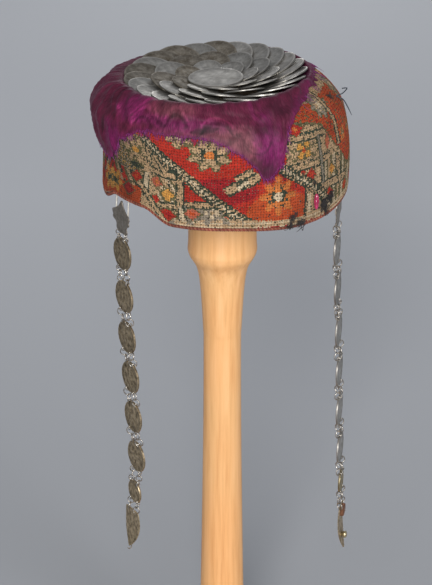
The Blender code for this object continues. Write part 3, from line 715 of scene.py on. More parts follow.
class Chart:
    """Colour of each stitch, by its places x across and s up the flat cloth, in mm."""

    def __init__(self, x, s):
        x = np.where(x < CHART_LEFT, 2 * CHART_LEFT - x, x)
        self.x = np.where(x > CHART_RIGHT, 2 * CHART_RIGHT - x, x)
        self.s = s
        self.image = np.full(x.shape + (3,), PALETTE["red"])

    def fill(self, where, colour):
        self.image[where] = PALETTE[colour]

    def bar(self, x0, s0, x1, s1, half, colour):
        across, along, length = line_measures(self.x, self.s, x0, s0, x1, s1)
        near = (along > -half) & (along < length + half)
        self.fill(near & (np.abs(across) < half + BAR_OUTLINE), "green")
        self.fill(near & (np.abs(across) < half), colour)

    def oval(self, cx, cs, wide, high):
        """Where the cloth lies in an oval."""
        return np.hypot((self.x - cx) / wide, (self.s - cs) / high) < 1.0

    def diamond(self, cx, cs, wide, high, colour, heart):
        size = np.abs(self.x - cx) / wide + np.abs(self.s - cs) / high
        for limit, wool in ((1.22, "olive"), (1.0, colour), (0.38, heart)):
            self.fill(size < limit, wool)

    def flower(self, cx, cs, radius, breadth, petals, turn, colour, gaps, heart, marks):
        dx = (self.x - cx) / breadth
        dy = (self.s - cs) * breadth
        reach = np.hypot(dx, dy) * (1.0 + 0.07 * waviness(self.x, self.s, 61, 9, 9.0, 2.2)) / radius
        wave = np.cos(petals * (np.arctan2(dy, dx) + math.radians(turn)))
        self.fill(reach < 0.98 + 0.16 * wave, gaps)
        self.fill(reach < 0.82 + 0.20 * wave, colour)
        self.fill((np.abs(reach - 0.52) < 0.7 / radius) & (wave < -0.2), marks)
        self.fill((reach < 0.42) & (np.abs(dx) > 0.7 * np.abs(dy)), marks)
        self.fill(reach < 0.24, heart)

    def dots(self, corners, half):
        """Band of small pale blocks on dark green, a middle row between two offset ones."""
        for start, end in zip(corners, corners[1:]):
            across, along, length = line_measures(self.x, self.s, *start, *end)
            inside = (along > -1.0) & (along < length + 1.0)
            self.fill(inside & (np.abs(across) < half + 0.8), "green")
            inside &= np.abs(across) < half
            middle_row = (np.abs(across) < 1.1) & (along % DOT_PITCH < 0.62 * DOT_PITCH)
            outer_rows = (np.abs(across) > 1.3) & ((along + DOT_PITCH / 2) % DOT_PITCH < 0.45 * DOT_PITCH)
            self.fill(inside & middle_row, "pale")
            self.fill(inside & outer_rows, "beige")

    def stripes(self, where, pitch, slope, *colours):
        stripe = np.floor((self.x + slope * self.s) / pitch).astype(int) % len(colours)
        for number, colour in enumerate(colours):
            self.fill(where & (stripe == number), colour)

    def front_band(self):
        """Pale ground under the slanting band, left of the middle."""
        x, s = self.x, self.s
        below = (s < read_table(x, FRONT_LINE)) & (x < 20.0) & (x > LEFT_SEAM)
        self.fill(below, "beige")
        self.stripes(below & (x > -49.0) & (s < 36.0), 2.6, 1.0, "beige", "pale", "olive", "beige")
        self.fill(below & (x > -30.0) & (s > 20.0), "red")
        self.fill(below & (x > -28.0) & (s < 19.0), "grey")

    def left_gusset(self):
        """Orange cloth at the left, with speckled pile above."""
        x, s = self.x, self.s
        gusset = x < LEFT_SEAM
        self.fill(gusset, "orange_red")
        self.stripes(gusset & (s > 20.0) & (s < 36.0), 3.4, 0.6, "red", "olive", "beige", "green")
        speckle = np.random.default_rng(5).random(x.shape)
        for first, colour in PILE_SPECKLES:
            self.fill(gusset & (s > 33.0) & (speckle > first), colour)
        self.fill(gusset & self.oval(-67.0, 41.5, 8.0, 5.0) & (speckle > 0.15), "green")

    def right_panel(self):
        """Pale panel at the right: stripes, a square of zigzags and the orange field on top."""
        x, s = self.x, self.s
        panel = x > RIGHT_SEAM
        self.fill(panel, "beige")
        self.stripes(panel & (s < 40.0) & (x > 78.0), 3.0, -0.1, "beige", "olive", "pale", "olive")
        square = (x > 45.5) & (x < 79.0) & (s > 41.5) & (s < 60.5)
        self.fill(square, "beige")
        zigzag = np.abs((x + 60.0) % 9.0 - 4.5) + 46.0
        for lift in (0.0, 6.0):
            self.fill(square & (np.abs(s - zigzag - lift) < 1.0), "olive")
        above = s - read_table(x, FIELD_LINE)
        field = (above > 0.0) & (x > 58.0)
        self.fill(field, "orange_red")
        strokes = np.sin(x * 1.1 + 2.0 * np.sin(s * 0.5)) * np.sin(s * 0.9 + 1.5 * np.sin(x * 0.35))
        self.fill(field & (strokes > 0.62), "olive")
        self.fill(field & (strokes < -0.72), "crimson")
        self.fill(field & (above < 2.2), "olive")
        self.fill(field & (s > 84.0), "beige")

    def border(self):
        """Pale rows above the cord, widest under the front."""
        x, s = self.x, self.s
        top = read_table(x, BORDER_TOP)
        rows = s < top
        self.fill(rows, "beige")
        self.fill(rows & (np.floor(s) % 3 == 0), "pale")
        self.fill(rows & (np.floor(x / 4.4) % 3 == 0) & (s > top - 3.4) & (x < 14.0), "grey")
        self.fill((np.abs(s - 2.6) < 0.8) & (x > 24.0) & (x < 86.0), "crimson")

    def stray_stitches(self):
        """Odd stitches of olive and green in the pale grounds."""
        stray = np.random.default_rng(9).random(self.x.shape)
        for ground in ("beige", "grey"):
            cells = np.all(np.isclose(self.image, PALETTE[ground]), -1)
            self.fill(cells & (stray < STRAY_OLIVE), "olive")
            self.fill(cells & (stray > 1.0 - STRAY_GREEN) & (self.s > 9.0), "green")


def chart_colours(x, s):
    """Colours of the whole chart, each part drawn over the ones before."""
    chart = Chart(x, s)
    for *oval, colour in RED_SHADES:
        chart.fill(chart.oval(*oval), colour)
    chart.front_band()
    chart.left_gusset()
    chart.right_panel()
    for draw, table in (
        (chart.flower, FLOWERS),
        (chart.bar, BARS),
        (chart.diamond, DIAMONDS),
        (chart.bar, LEAVES),
    ):
        for row in table:
            draw(*row)
    chart.fill((np.abs(chart.x - RIGHT_SEAM) < 1.0) & (s < 33.0), "green")
    chart.fill((np.abs(chart.x - 64.2) < 1.5) & (s > 9.0) & (s < 22.0), "pale")
    for band in DOTTED_BANDS:
        chart.dots(*band)
    chart.border()
    chart.stray_stitches()
    # The wool's colour darkens towards the sides of the chart
    return chart.image * read_table(chart.x, CHART_SIDE_TONE)[..., None]


def flat_row_levels():
    """Rows of the cap's sections at even steps up the flat cloth."""
    levels = np.linspace(0.0, RIM_LEVEL, 281)
    profile = cap_points(np.full_like(levels, PLAIN_AZIMUTH), levels)
    run = np.append(0.0, np.cumsum(np.linalg.norm(np.diff(profile, axis=0), axis=1)))
    return np.interp(np.linspace(0.0, run[-1], STITCH_ROWS + 1), run, levels)


def make_embroidery(material):
    """One raised cross-stitch for each cell of the cloth that the silk leaves bare."""
    levels = flat_row_levels()
    azimuths = all_round(STITCHES_ROUND) + 90.0
    column_middles = azimuths + 180.0 / STITCHES_ROUND
    row_middles = (levels[:-1] + levels[1:]) / 2
    corner_az, corner_level = np.meshgrid(azimuths, levels, indexing="ij")
    az, level = np.meshgrid(column_middles, row_middles, indexing="ij")
    column_number, row_number = np.indices(corner_az.shape)
    holes = (column_number % 2 == 0) & (row_number % 2 == 0)
    sunk = np.where(holes, -HOLE_DEPTH, 0.08) * rng.uniform(0.4, 1.3, holes.shape)
    corners = to_world(off_cap(corner_az, corner_level, sunk))
    height = cap_points(az, level)[..., 2]
    chart_height = read_table(height - hem_rise(az, height), SHOULDER_ROWS)
    stray = rng.normal(0.0, CHART_STRAY, (2,) + height.shape)
    colours = chart_colours(chart_place(az) + stray[0], chart_height + stray[1])
    raised = STITCH_RAISE * rng.uniform(0.6, 1.15, az.shape)
    middles = to_world(off_cap(az, level, raised))
    shown = height < silk_edge_height(column_middles)[:, None] + UNDER_SILK
    worn = 0.94 + 0.10 * np.clip(waviness(az * CHART_SCALE, height, 3, 14, 40.0, 4.0), -1.5, 1.5)
    colours = colours * (worn * rng.uniform(0.78, 1.12, az.shape))[..., None]
    colours[rng.random(az.shape) < STITCHES_LOST] = PALETTE["dark"]

    rows = STITCH_ROWS + 1
    column, row = np.nonzero(shown)
    left = column * rows + row
    right = (column + 1) % STITCHES_ROUND * rows + row
    middle = STITCHES_ROUND * rows + column * STITCH_ROWS + row
    around = (left, right, right + 1, left + 1, left)
    faces = np.concatenate([np.stack((here, after, middle), -1) for here, after in zip(around, around[1:])])
    points = np.concatenate((corners.reshape(-1, 3), middles.reshape(-1, 3)))
    used, faces = np.unique(faces, return_inverse=True)
    faces = faces.reshape(-1, 3)
    mesh = mesh_of("cap_embroidery", points[used], faces.tolist(), False)
    # Painted shade and highlight in each stitch's colour: darker at the cell's corners, almost black at the
    # sunk holes between stitches, brighter at the stitch's raised middle
    depth = np.where(holes, 0.10, 0.80) * rng.uniform(0.75, 1.2, holes.shape)
    shade = np.append(depth.ravel(), np.full(az.size, 1.12))
    tone = np.tile(colours[column, row], (4, 1))[:, None, :] * shade[used][faces][..., None]
    paint(mesh, "stitch", np.minimum(tone, 1.0).reshape(-1, 3), "CORNER")
    add_piece(mesh, material, "cap_wall", "cap_shoulder", slot="embroidered_cloth")


def make_lining(material):
    """Lining and padding behind the stitches, from the edge over the crown."""
    columns = 120
    rows = 61
    az, level = np.meshgrid(all_round(columns), np.linspace(0.0, LAST_LEVEL, rows), indexing="ij")
    crown = tuple(range(rows - 1, columns * rows, rows))
    mesh = ring_mesh("cap_lining", to_world(off_cap(az, level, -LINING_DEPTH)), crown)
    piece = add_piece(mesh, material, "cap_crown", slot="embroidered_cloth")
    thicken(piece, (CLOTH - GAP) * 0.9, -1.0)


# Silk cover

SILK_COLUMNS = 480
SILK_ROWS = 84
SILK_THICKNESS = 0.35
SILK_END_LEVEL = 10.5  # under the coins, down the dish
SILK_ROLL = 2.2  # extra rise of the cloth where it comes out from under the coins
SILK_ROLL_LEVELS = (5.4, 6.8, 7.4, 8.3)  # rows where the roll starts, is full, and has gone
SILK_ROLL_MIDDLE = 272.0
SILK_ROLL_REACH = 92.0
SILK_THREADS = 420
FRAY_AT_FRONT = 0.72  # share of the threads that are drawn again between these azimuths
FRAY_ENDS = (183.0, 304.0)
SILK_DYES = {
    "plum": np.array((0.088, 0.009, 0.030)),
    "magenta": np.array((0.138, 0.008, 0.072)),
    "faded": np.array((0.150, 0.045, 0.058)),
    "deep": np.array((0.028, 0.004, 0.012)),
}
SILK_PATCHES = (
    # azimuth and height of the middle, half width and half height in mm, colour, strength
    (262, 62, 36, 12, "faded", 0.85),
    (281, 58, 15, 15, "faded", 0.55),
    (246, 80, 20, 6, "faded", 0.50),
    (292, 56, 11, 24, "magenta", 0.95),
    (288, 43, 11, 11, "deep", 0.70),
    (213, 50, 12, 16, "magenta", 0.80),
    (250, 73, 34, 4.5, "magenta", 0.65),
    (222, 76, 16, 8, "magenta", 0.55),
    (190, 66, 22, 18, "plum", 0.70),
    (206, 78, 12, 9, "deep", 0.45),
    (184, 58, 12, 8, "deep", 0.35),
    (304, 79, 14, 5, "deep", 0.55),
    (290, 70, 14, 5, "deep", 0.40),
)
DAMASK_ARCS = (
    # middle azimuth and height in mm, radius, first and last angle in degrees, half width, shade
    (232, 68, 11, 20, 160, 0.7, 1.75),
    (232, 67, 14, 30, 150, 0.6, 1.60),
    (232, 66, 8, 15, 165, 0.9, 0.55),
    (249, 70, 8, 10, 170, 0.9, 0.52),
    (249, 70, 10.5, 20, 150, 0.6, 1.60),
    (268, 62, 13, 35, 150, 1.2, 0.52),
    (268, 62, 16, 40, 140, 0.7, 1.60),
    (286, 66, 10, 180, 340, 0.9, 0.60),
    (212, 62, 13, 20, 120, 0.8, 1.60),
    (256, 76, 10, 190, 350, 0.9, 0.58),
    (196, 70, 12, 30, 150, 0.8, 1.50),
    (150, 66, 12, 20, 160, 0.8, 1.50),
    (110, 70, 10, 20, 160, 0.8, 1.50),
)
DAMASK_LEAVES = (
    # middle azimuth and height in mm, half length, half width, turn in degrees, shade
    (240, 73, 8, 1.8, 160, 0.50),
    (262, 71, 11, 1.9, 8, 0.46),
    (275, 66, 8, 2.2, 30, 0.58),
    (226, 68, 6, 1.6, 60, 1.60),
    (216, 70, 7, 1.6, 120, 1.55),
    (252, 69, 5, 1.5, 140, 1.50),
    (283, 58, 7, 1.6, 70, 1.45),
    (291, 62, 9, 1.6, 100, 1.35),
    (288, 47, 6, 1.4, 60, 1.40),
    (205, 60, 8, 1.6, 75, 0.55),
    (190, 74, 7, 1.8, 100, 1.40),
)
SILK_FOLDS = (
    # azimuth of the fold at its foot and top, foot and top height in mm, half width, rise in mm
    (226, 216, 68, 84, 2.2, 1.5),
    (216, 207, 72, 84, 1.9, 1.8),
    (209, 201, 74, 84, 1.6, 1.7),
    (201, 195, 72, 84, 1.8, 1.6),
    (239, 229, 76, 84, 1.8, 1.4),
    (266, 240, 77, 80, 1.6, 1.1),
    (300, 318, 72, 84, 1.6, 1.5),
    (291, 310, 76, 85, 1.5, 1.3),
    (308, 326, 75, 84, 1.5, 1.4),
    (203, 200, 46, 70, 3, 1.3),
    (212, 211, 38, 62, 2.4, 1.6),
    (196, 188, 44, 78, 4, 1.2),
    (258, 276, 74, 74, 2.2, 1.2),
    (290, 284, 50, 76, 3, 1),
    (296, 300, 60, 80, 2.6, 1.1),
    (178, 172, 50, 78, 4.5, 1.4),
    (150, 156, 52, 78, 5, 1.4),
    (120, 112, 56, 80, 4.5, 1.3),
    (80, 86, 60, 80, 4.5, 1.3),
)


def silk_edge_height(azimuth):
    wrapped = np.concatenate((SILK_EDGE, SILK_EDGE[:1] + (360.0, 0.0)))
    return read_table(azimuth % 360.0, wrapped)


def silk_torn_edge(azimuth):
    """Height of the torn edge, with small tears."""
    ragged = waviness(azimuth * CHART_SCALE, 0.0 * azimuth, 11, 12, 26.0, 2.6)
    return silk_edge_height(azimuth) + 0.75 * ragged


def silk_stand_off(azimuth, points):
    """Gap between the cap and the silk: even all over, wider where the silk hangs loose."""
    across = smooth_step(1.0 - angle_between(azimuth, SILK_BULGE_AZIMUTH) / SILK_BULGE_HALF_WIDTH)
    up = smooth_step((SILK_BULGE_HIGH - points[..., 2]) / (SILK_BULGE_HIGH - SILK_BULGE_LOW))
    outer = np.hypot(points[..., 0], points[..., 1]) >= SILK_BULGE_INNER
    return SILK_STAND_OFF + SILK_BULGE * across * up * outer


def silk_folds(azimuth, height):
    """Rise of the soft folds and wrinkles, in mm."""
    x = chart_place(azimuth)
    rise = 0.26 * waviness(x, height * 1.6, 21, 12, 24.0, 2.6)
    for foot, top, low, high, half, most in SILK_FOLDS:
        across, along, length = line_measures(x, height, chart_place(foot), low, chart_place(top), high)
        ends = smooth_step((along + 4.0) / 8.0) * smooth_step((length + 4.0 - along) / 8.0)
        rise = rise + most * np.exp(-(across / half) ** 2) * ends
    return rise


def silk_roll(azimuth, level):
    """Soft roll of cloth that the coins press on, fuller in places."""
    rising, full, fading, gone = SILK_ROLL_LEVELS
    across = smooth_step((level - rising) / (full - rising)) * smooth_step((gone - level) / (gone - fading))
    near = smooth_step((SILK_ROLL_REACH - angle_between(azimuth, SILK_ROLL_MIDDLE)) / 30.0)
    uneven = 1.0 + 0.18 * waviness(azimuth * CHART_SCALE, level * 2.0, 51, 9, 40.0, 7.0)
    return SILK_ROLL * across * near * uneven


def silk_dye(azimuth, height, edge):
    """Colour of the silk: plum, faded in the middle of the front and magenta along the tear."""
    x = chart_place(azimuth)
    soft = waviness(x, height, 31, 12, 34.0, 5.0)
    colour = np.full(x.shape + (3,), SILK_DYES["plum"])
    for middle, at, wide, high, dye, strength in SILK_PATCHES:
        reach = np.hypot((x - chart_place(middle)) / wide, (height - at) / high)
        share = (strength * smooth_step(1.35 - reach + 0.18 * soft))[..., None]
        colour = colour + (SILK_DYES[dye] - colour) * share
    torn = smooth_step(1.0 - (height - edge) / 5.0) * 0.5
    colour = colour + (SILK_DYES["magenta"] - colour) * torn[..., None]
    shade = 1.0 + 0.16 * soft
    for middle, at, radius, first, last, half, tone in DAMASK_ARCS:
        dx = x - chart_place(middle)
        dy = height - at
        reach = np.abs(np.hypot(dx, dy) - radius)
        angle = np.degrees(np.arctan2(dy, dx)) % 360.0
        inside = (angle > first) & (angle < last)
        shade = shade * (1.0 + (tone - 1.0) * smooth_step(1.4 - reach / half) * inside)
    for middle, at, long, wide, turn, tone in DAMASK_LEAVES:
        dx = x - chart_place(middle)
        dy = height - at
        cosine = math.cos(math.radians(turn))
        sine = math.sin(math.radians(turn))
        lengthwise = (dx * cosine + dy * sine) / long
        width = wide * np.clip(1.0 - lengthwise**2, 0.02, 1.0)
        reach = np.abs(dy * cosine - dx * sine) / width
        shade = shade * (1.0 + (tone - 1.0) * smooth_step(1.5 - reach) * (np.abs(lengthwise) < 1.0))
    return np.clip(colour * shade[..., None], 0.0, 1.0)


def make_silk(material):
    azimuths = all_round(SILK_COLUMNS)
    edge = silk_torn_edge(azimuths)
    start = level_at_height(azimuths, edge)[:, None]
    level = start + (SILK_END_LEVEL - start) * np.linspace(0.0, 1.0, SILK_ROWS)
    az = np.repeat(azimuths[:, None], SILK_ROWS, 1)
    cloth = cap_points(az, level)
    height = cloth[..., 2]
    outside = smooth_step((RIM_LEVEL + 0.1 - level) / 0.8)
    stand_off = silk_stand_off(az, cloth) + silk_folds(az, height) * outside + silk_roll(az, level)
    surface = off_cap(az, level, stand_off)
    mesh = ring_mesh("silk_drape", to_world(surface))
    paint(mesh, "dye", silk_dye(az, height, edge[:, None]).reshape(-1, 3))
    run = np.cumsum(np.linalg.norm(np.diff(surface, axis=1), axis=2), 1)
    lay = np.stack((chart_place(az), np.pad(run, ((0, 0), (1, 0)))), -1).reshape(-1, 2) * MM
    corners = np.empty(len(mesh.loops), int)
    mesh.loops.foreach_get("vertex_index", corners)
    mesh.uv_layers.new(name="lay").data.foreach_set("uv", lay[corners].ravel())
    silk = add_piece(mesh, material, "silk_cover", slot="silk")
    thicken(silk, SILK_THICKNESS * MM, 1.0)
    return silk


def make_silk_threads(material):
    """Frayed threads along the tear, hanging and lying askew."""
    share = np.linspace(0.0, 1.0, 5)
    radii = np.array((0.16, 0.15, 0.14, 0.12, 0.08)) * MM
    parts = []
    for number in range(SILK_THREADS):
        azimuth = rng.uniform(0.0, 360.0)
        if rng.random() < FRAY_AT_FRONT:
            azimuth = rng.uniform(*FRAY_ENDS)
        length = rng.uniform(1.5, 6.5)
        skew = rng.normal(0.0, 0.6)
        lift = rng.uniform(0.4, 1.5)
        along = azimuth + skew * length * share * 0.4
        height = silk_torn_edge(np.array([azimuth])) + 1.5 - length * share * 0.9
        level = level_at_height(along, height)
        gap = silk_stand_off(along, cap_points(along, level)) * (1.0 - 0.3 * share)
        path = off_cap(along, level, gap + lift * (0.4 + 0.6 * share))
        parts.append(tube(to_world(path), radii, 3))
    return add_piece(joined("silk_fray", parts), material, slot="silk")


# Hem

HEM_STEPS = 2460
HEM_TURNS = 205
PLY_OFFSET = 0.62
PLY_RADIUS = 0.66
PLY_SIDES = 6
PLY_COLOURS = ((0.24, 0.045, 0.030), (0.34, 0.13, 0.075))


def make_hem(material):
    """Two-ply twisted cord along the edge, brick and sand."""
    edge = cap_points(all_round(HEM_STEPS), np.zeros(HEM_STEPS))
    inwards = unit(edge * (-1.0, -1.0, 0.0)) * (CLOTH / MM / 2)
    line = to_world(edge + inwards - (0.0, 0.0, (GAP + HEM_CORD_RADIUS) / MM))
    along = unit(np.roll(line, -1, 0) - np.roll(line, 1, 0))
    side = unit(np.cross(along, (0.0, 0.0, 1.0)))
    other = np.cross(along, side)
    twist = np.linspace(0.0, math.tau * HEM_TURNS, HEM_STEPS, endpoint=False)[:, None]
    run = np.repeat(np.arange(HEM_STEPS) * 0.28, PLY_SIDES)
    patchy = 1.0 + 0.28 * waviness(run, 0.0 * run, 41, 8, 60.0, 5.0)
    plies = []
    for turn in (0.0, math.pi):
        offset = side * np.cos(twist + turn) + other * np.sin(twist + turn)
        plies.append(tube(line + offset * PLY_OFFSET * MM, PLY_RADIUS * MM, PLY_SIDES, closed=True))
    mesh = joined("hem_cord", plies)
    colours = [patchy[:, None] * np.array(colour) for colour in PLY_COLOURS]
    paint(mesh, "strand", np.clip(np.concatenate(colours), 0.0, 1.0))
    add_piece(mesh, material, "hem_binding", slot="hem_cord")


# Coins

COIN_SIDES = 56
COIN_FIT = 0.985  # finished coin's share of the solid's radius
COIN_SHARES = np.array((0.12, 0.22, 0.32, 0.42, 0.52, 0.62, 0.70, 0.77, 0.83, 0.88, 0.93, 0.975, 1.0))
COIN_PAINTED_SHADE_AND_HIGHLIGHT = (
    # share of the radius, brightness there: painted shade in the groove inside the rim, painted highlight on
    # the rim's crest, a little darker on the edge
    (0, 1), (0.70, 1), (0.86, 0.78), (0.92, 0.70), (0.955, 1.10), (0.99, 1.14), (1, 0.95),
)


def coin_mesh(name, radius, thickness, seed, relief, rim):
    """Struck coin, all in mm: raised rim, row of beads and a worn wreath, no figure."""
    draw = np.random.default_rng(seed)
    turns = np.radians(all_round(COIN_SIDES))
    phase = draw.uniform(0.0, math.tau, 3)
    leaves = int(draw.integers(5, 9))
    coin_tone = draw.uniform(0.80, 1.14)
    outline = 1.0 + 0.008 * np.sin(2 * turns + phase[0]) + 0.005 * np.sin(5 * turns + phase[1])
    share = COIN_SHARES[:, None]
    x = radius * share * outline * np.cos(turns)
    y = radius * share * outline * np.sin(turns)
    wreath = np.exp(-(((share - 0.50) / 0.15) ** 2)) * (0.5 + 0.5 * np.sin(leaves * turns + phase[2]))
    boss = 0.8 * np.exp(-((share / 0.22) ** 2))
    beads = 0.55 * (0.5 + 0.5 * np.cos(COIN_SIDES // 2 * turns)) * ((share > 0.80) & (share < 0.90))
    worn = 0.5 * waviness(x, y, seed, 14, 9.0, 1.8) * np.minimum(1.0, (1.0 - share) * 6.0)
    raised = relief * (wreath + boss + beads + worn)
    raised += rim * ((share > 0.91) & (share < 0.98)) - thickness * 0.16 * (share == 1.0)
    # Colour tone of each point: the coin's own tone, times a tone brighter on the raised relief and darker in
    # its hollows, times the painted shade inside the rim and the painted highlight on its crest
    relief_tone = 0.86 + 0.24 * np.clip(raised / relief, -0.6, 1.2)
    tone_and_painted_shading = (coin_tone * read_table(share, COIN_PAINTED_SHADE_AND_HIGHLIGHT) * relief_tone).ravel()

    face = np.stack((x, y, thickness / 2 + raised), -1).reshape(-1, 3)
    middle = np.array(((0.0, 0.0, thickness / 2 + relief * 0.8),))
    points = np.concatenate((face, face * (1, 1, -1), middle, -middle)) * MM
    back = len(face)
    edge = back - COIN_SIDES
    rings = len(COIN_SHARES)
    faces = grid_faces(rings, COIN_SIDES, flipped=True) + grid_faces(rings, COIN_SIDES, first=back)
    for column in range(COIN_SIDES):
        after = (column + 1) % COIN_SIDES
        faces.append((2 * back, column, after))
        faces.append((2 * back + 1, back + after, back + column))
        faces.append((edge + column, back + edge + column, back + edge + after, edge + after))
    mesh = mesh_of(name, points, faces)
    paint(mesh, "tone_and_painted_shading", np.clip(np.concatenate((tone_and_painted_shading, tone_and_painted_shading, (coin_tone, coin_tone))), 0.0, 1.6))
    mesh.set_sharp_from_angle(angle=math.radians(40))
    return mesh


def random_spin():
    return Matrix.Rotation(rng.uniform(0.0, math.tau), 4, "Z")


def frame_of(place, *directions):
    return Matrix.Translation(place) @ Matrix(directions).transposed().to_4x4()


def coin_frame(azimuth, ring_radius, height, dish, lean):
    outwards = Vector((math.cos(azimuth), math.sin(azimuth), 0.0))
    along = Vector((-math.sin(azimuth), math.cos(azimuth), 0.0))
    radial = outwards * math.cos(dish) + UP * math.sin(dish)
    dished = UP * math.cos(dish) - outwards * math.sin(dish)
    leading = along * math.cos(lean) - dished * math.sin(lean)
    normal = dished * math.cos(lean) + along * math.sin(lean)
    return frame_of(outwards * ring_radius + UP * height, radial, leading, normal)


def make_rosette(silvers):
    seat = Matrix.Translation(ROSETTE_CENTRE) @ Matrix.Rotation(-math.radians(ROSETTE_ROLL), 4, "Y")
    seed = 100
    for name, count, ring_radius, radius, thickness, dish, lean, height, phase in COIN_RINGS:
        flatter, straighter, inwards, higher = COIN_SETTLE[name]
        for number in range(count):
            seed += 1
            azimuth = math.tau * number / count + phase
            tarnished = angle_between(math.degrees(azimuth), TARNISH_MIDDLE) < TARNISH_REACH
            finish = "brown" if tarnished and seed % 3 else "pewter"
            relief = 0.16 if tarnished else 0.07
            coin = f"{name}_{number + 1:02d}"
            mesh = coin_mesh("rosette_" + coin, radius * COIN_FIT, thickness * 0.9, seed, relief, 0.07)
            spin = random_spin()
            near = NEAR_SETTLE * max(0.0, -math.sin(azimuth))
            tipped = math.radians(dish - flatter - near + rng.uniform(-2.4, 1.6))
            turned = math.radians(lean - straighter + rng.uniform(-1.0, 1.0))
            reach = (ring_radius - inwards + rng.uniform(-0.9, 0.6)) * MM
            azimuth += rng.uniform(-0.02, 0.02)
            mesh.transform(seat @ coin_frame(azimuth, reach, (height + higher) * MM, tipped, turned) @ spin)
            add_piece(mesh, silvers[finish], "coin_" + coin, slot="silver")
    radius, thickness, height = CENTRE_COIN
    mesh = coin_mesh("rosette_centre", radius * 0.99, thickness, 99, 0.05, 0.08)
    mesh.transform(seat @ Matrix.Translation((0.0, 0.0, height * MM)))
    add_piece(mesh, silvers["pewter"], "coin_centre", slot="silver")


# Chains

RING_WIRE = 0.42 * MM
RING_TARGET = 2.1 * MM
LUG_RADIUS = 1.35 * MM
LUG_WIRE = 0.4 * MM
HANGER_HALF = 8.5
HANGER_WIRE = 0.62 * MM
HANGER_DEPTH = 1.25  # inside the cloth's inner face
HANGER_ROUTE = ((-1.0, 12.0), (-0.6, 18.0), (0.6, 18.0), (1.0, 12.0))  # share of the half width, height
PLATE_THICKNESS = 1.1
LEAF_END_BOW = 2.8
BLOCK_SIZE = Vector((9.0, 3.0, 7.0)) * MM
BLOCK_BEVEL = 0.5 * MM
STUD_DROP = 25.9
STUD_PROFILE = np.array((
    # distance out of the plate, radius
    (1.0, 1.9), (2.2, 1.9), (2.5, 2.5), (4.0, 2.7), (4.8, 2.2), (5.2, 1.2),
)) * MM
PALMETTE_OUTLINE = np.array((
    # height from the plate's middle, half width, bow outwards, in mm
    (12.3, 0.5, 0), (10.4, 2, 0.1), (8, 3.9, 0.3), (5.2, 7.6, 0.6), (3.6, 11.4, 0.8),
    (1.6, 12.5, 0.8), (-0.8, 11.2, 0.8), (-2.2, 12, 0.8), (-3.8, 11, 0.7), (-5.2, 8.4, 0.4),
    (-7.2, 7.4, 0.3), (-9.6, 8, 0.1), (-11.6, 7, 0), (-12.3, 5.4, 0),
))
LEAF_OUTLINE = np.array((
    # share of the leaf's length below its top edge, half width, bow outwards, in mm
    (0, 7.6, 0), (0.03, 9.2, 0), (0.13, 10, -0.2), (0.26, 10.5, -0.4), (0.40, 10.5, -0.3),
    (0.52, 10, 0), (0.66, 8.6, 0.6), (0.78, 6.5, 1.2), (0.90, 3.8, 2), (1, 0.7, 2.8),
))


def plate_grid(rows, columns, relief):
    """Bowed plate with soft edges, from rows of (height, half width, bow) in mm."""
    fine = catmull_rom(rows, np.linspace(0.0, len(rows) - 1.0, 4 * len(rows)))
    height, half_width, bow = fine.T[..., None]
    across = np.linspace(-1.0, 1.0, columns)
    edge = np.sqrt(np.clip(1.0 - np.abs(across) ** 6, 0.12, 1.0))
    front = bow + (PLATE_THICKNESS / 2 + relief * np.cos(across * math.pi * 5.0)) * edge
    back = bow - PLATE_THICKNESS / 2 * edge
    faces_at = [np.stack(np.broadcast_arrays(half_width * across, y, height), -1) for y in (front, back)]
    points = np.concatenate(faces_at).reshape(-1, 3) * MM
    lower = half_width.size * columns
    faces = grid_faces(half_width.size, columns, wrapped=False)
    faces += grid_faces(half_width.size, columns, wrapped=False, first=lower, flipped=True)
    index = np.arange(lower).reshape(-1, columns)
    rim = np.concatenate((index[0], index[1:, -1], index[-1, -2::-1], index[-2:0:-1, 0])).tolist()
    for here, after in zip(rim, rim[1:] + rim[:1]):
        faces.append((here, here + lower, after + lower, after))
    return points, faces


def placed(part, matrix):
    points, faces = part
    return [matrix @ Vector(point) for point in points], faces


def arc(centre, first, second, radius, turns):
    """Points round a centre, from its two directions and the angles."""
    return [centre + (first * math.cos(turn) + second * math.sin(turn)) * radius for turn in turns]


def ring_part(centre, normal, across, radius, wire):
    """Round wire ring in the plane of across and normal x across."""
    path = arc(centre, across, normal.cross(across).normalized(), radius, np.radians(all_round(20)))
    return tube(path, wire, 7, closed=True)


def ring_column(upper, lower, outwards, side):
    """Interlocked rings from one hole to the next, each a quarter turn from the last."""
    run = lower - upper
    down = run.normalized()
    overlap = 2 * RING_WIRE
    count = max(2, round((run.length + overlap) / (2 * RING_TARGET + overlap)))
    pitch = run.length / count
    radius = pitch / 2 + RING_WIRE * 0.75
    across = down.cross(outwards).normalized()
    parts = []
    for number in range(count):
        centre = upper + down * (pitch * (number + 0.5))
        turn = math.radians(38.0 * side + 90.0 * number + rng.uniform(-12.0, 12.0))
        normal = Matrix.Rotation(turn, 3, down) @ across
        parts.append(ring_part(centre, normal, down, radius, RING_WIRE))
    return parts


def hanger_part(azimuth, middle, across):
    """Bent wire from the plate's shoulders up behind the cloth."""
    share, height = np.array(HANGER_ROUTE).T
    spread = math.degrees(HANGER_HALF * MM / Vector(middle.xy).length)
    at = (azimuth + spread * share) % 360.0
    base = cap_points(at, (height - CAP_EDGE) / (CAP_SECTIONS[1][0] - CAP_EDGE))
    base -= unit(base * (1, 1, 0)) * (CLOTH / MM + GAP / MM + HANGER_DEPTH)
    base[:, 2] = height
    inside = to_world(base)
    feet = [np.array(middle + across * HANGER_HALF * MM * side) for side in (1.0, -1.0)]
    if np.linalg.norm(inside[0] - feet[0]) > np.linalg.norm(inside[0] - feet[1]):
        feet.reverse()
    return tube(smooth_path([feet[0], *inside, feet[1]], 40), HANGER_WIRE, 8)


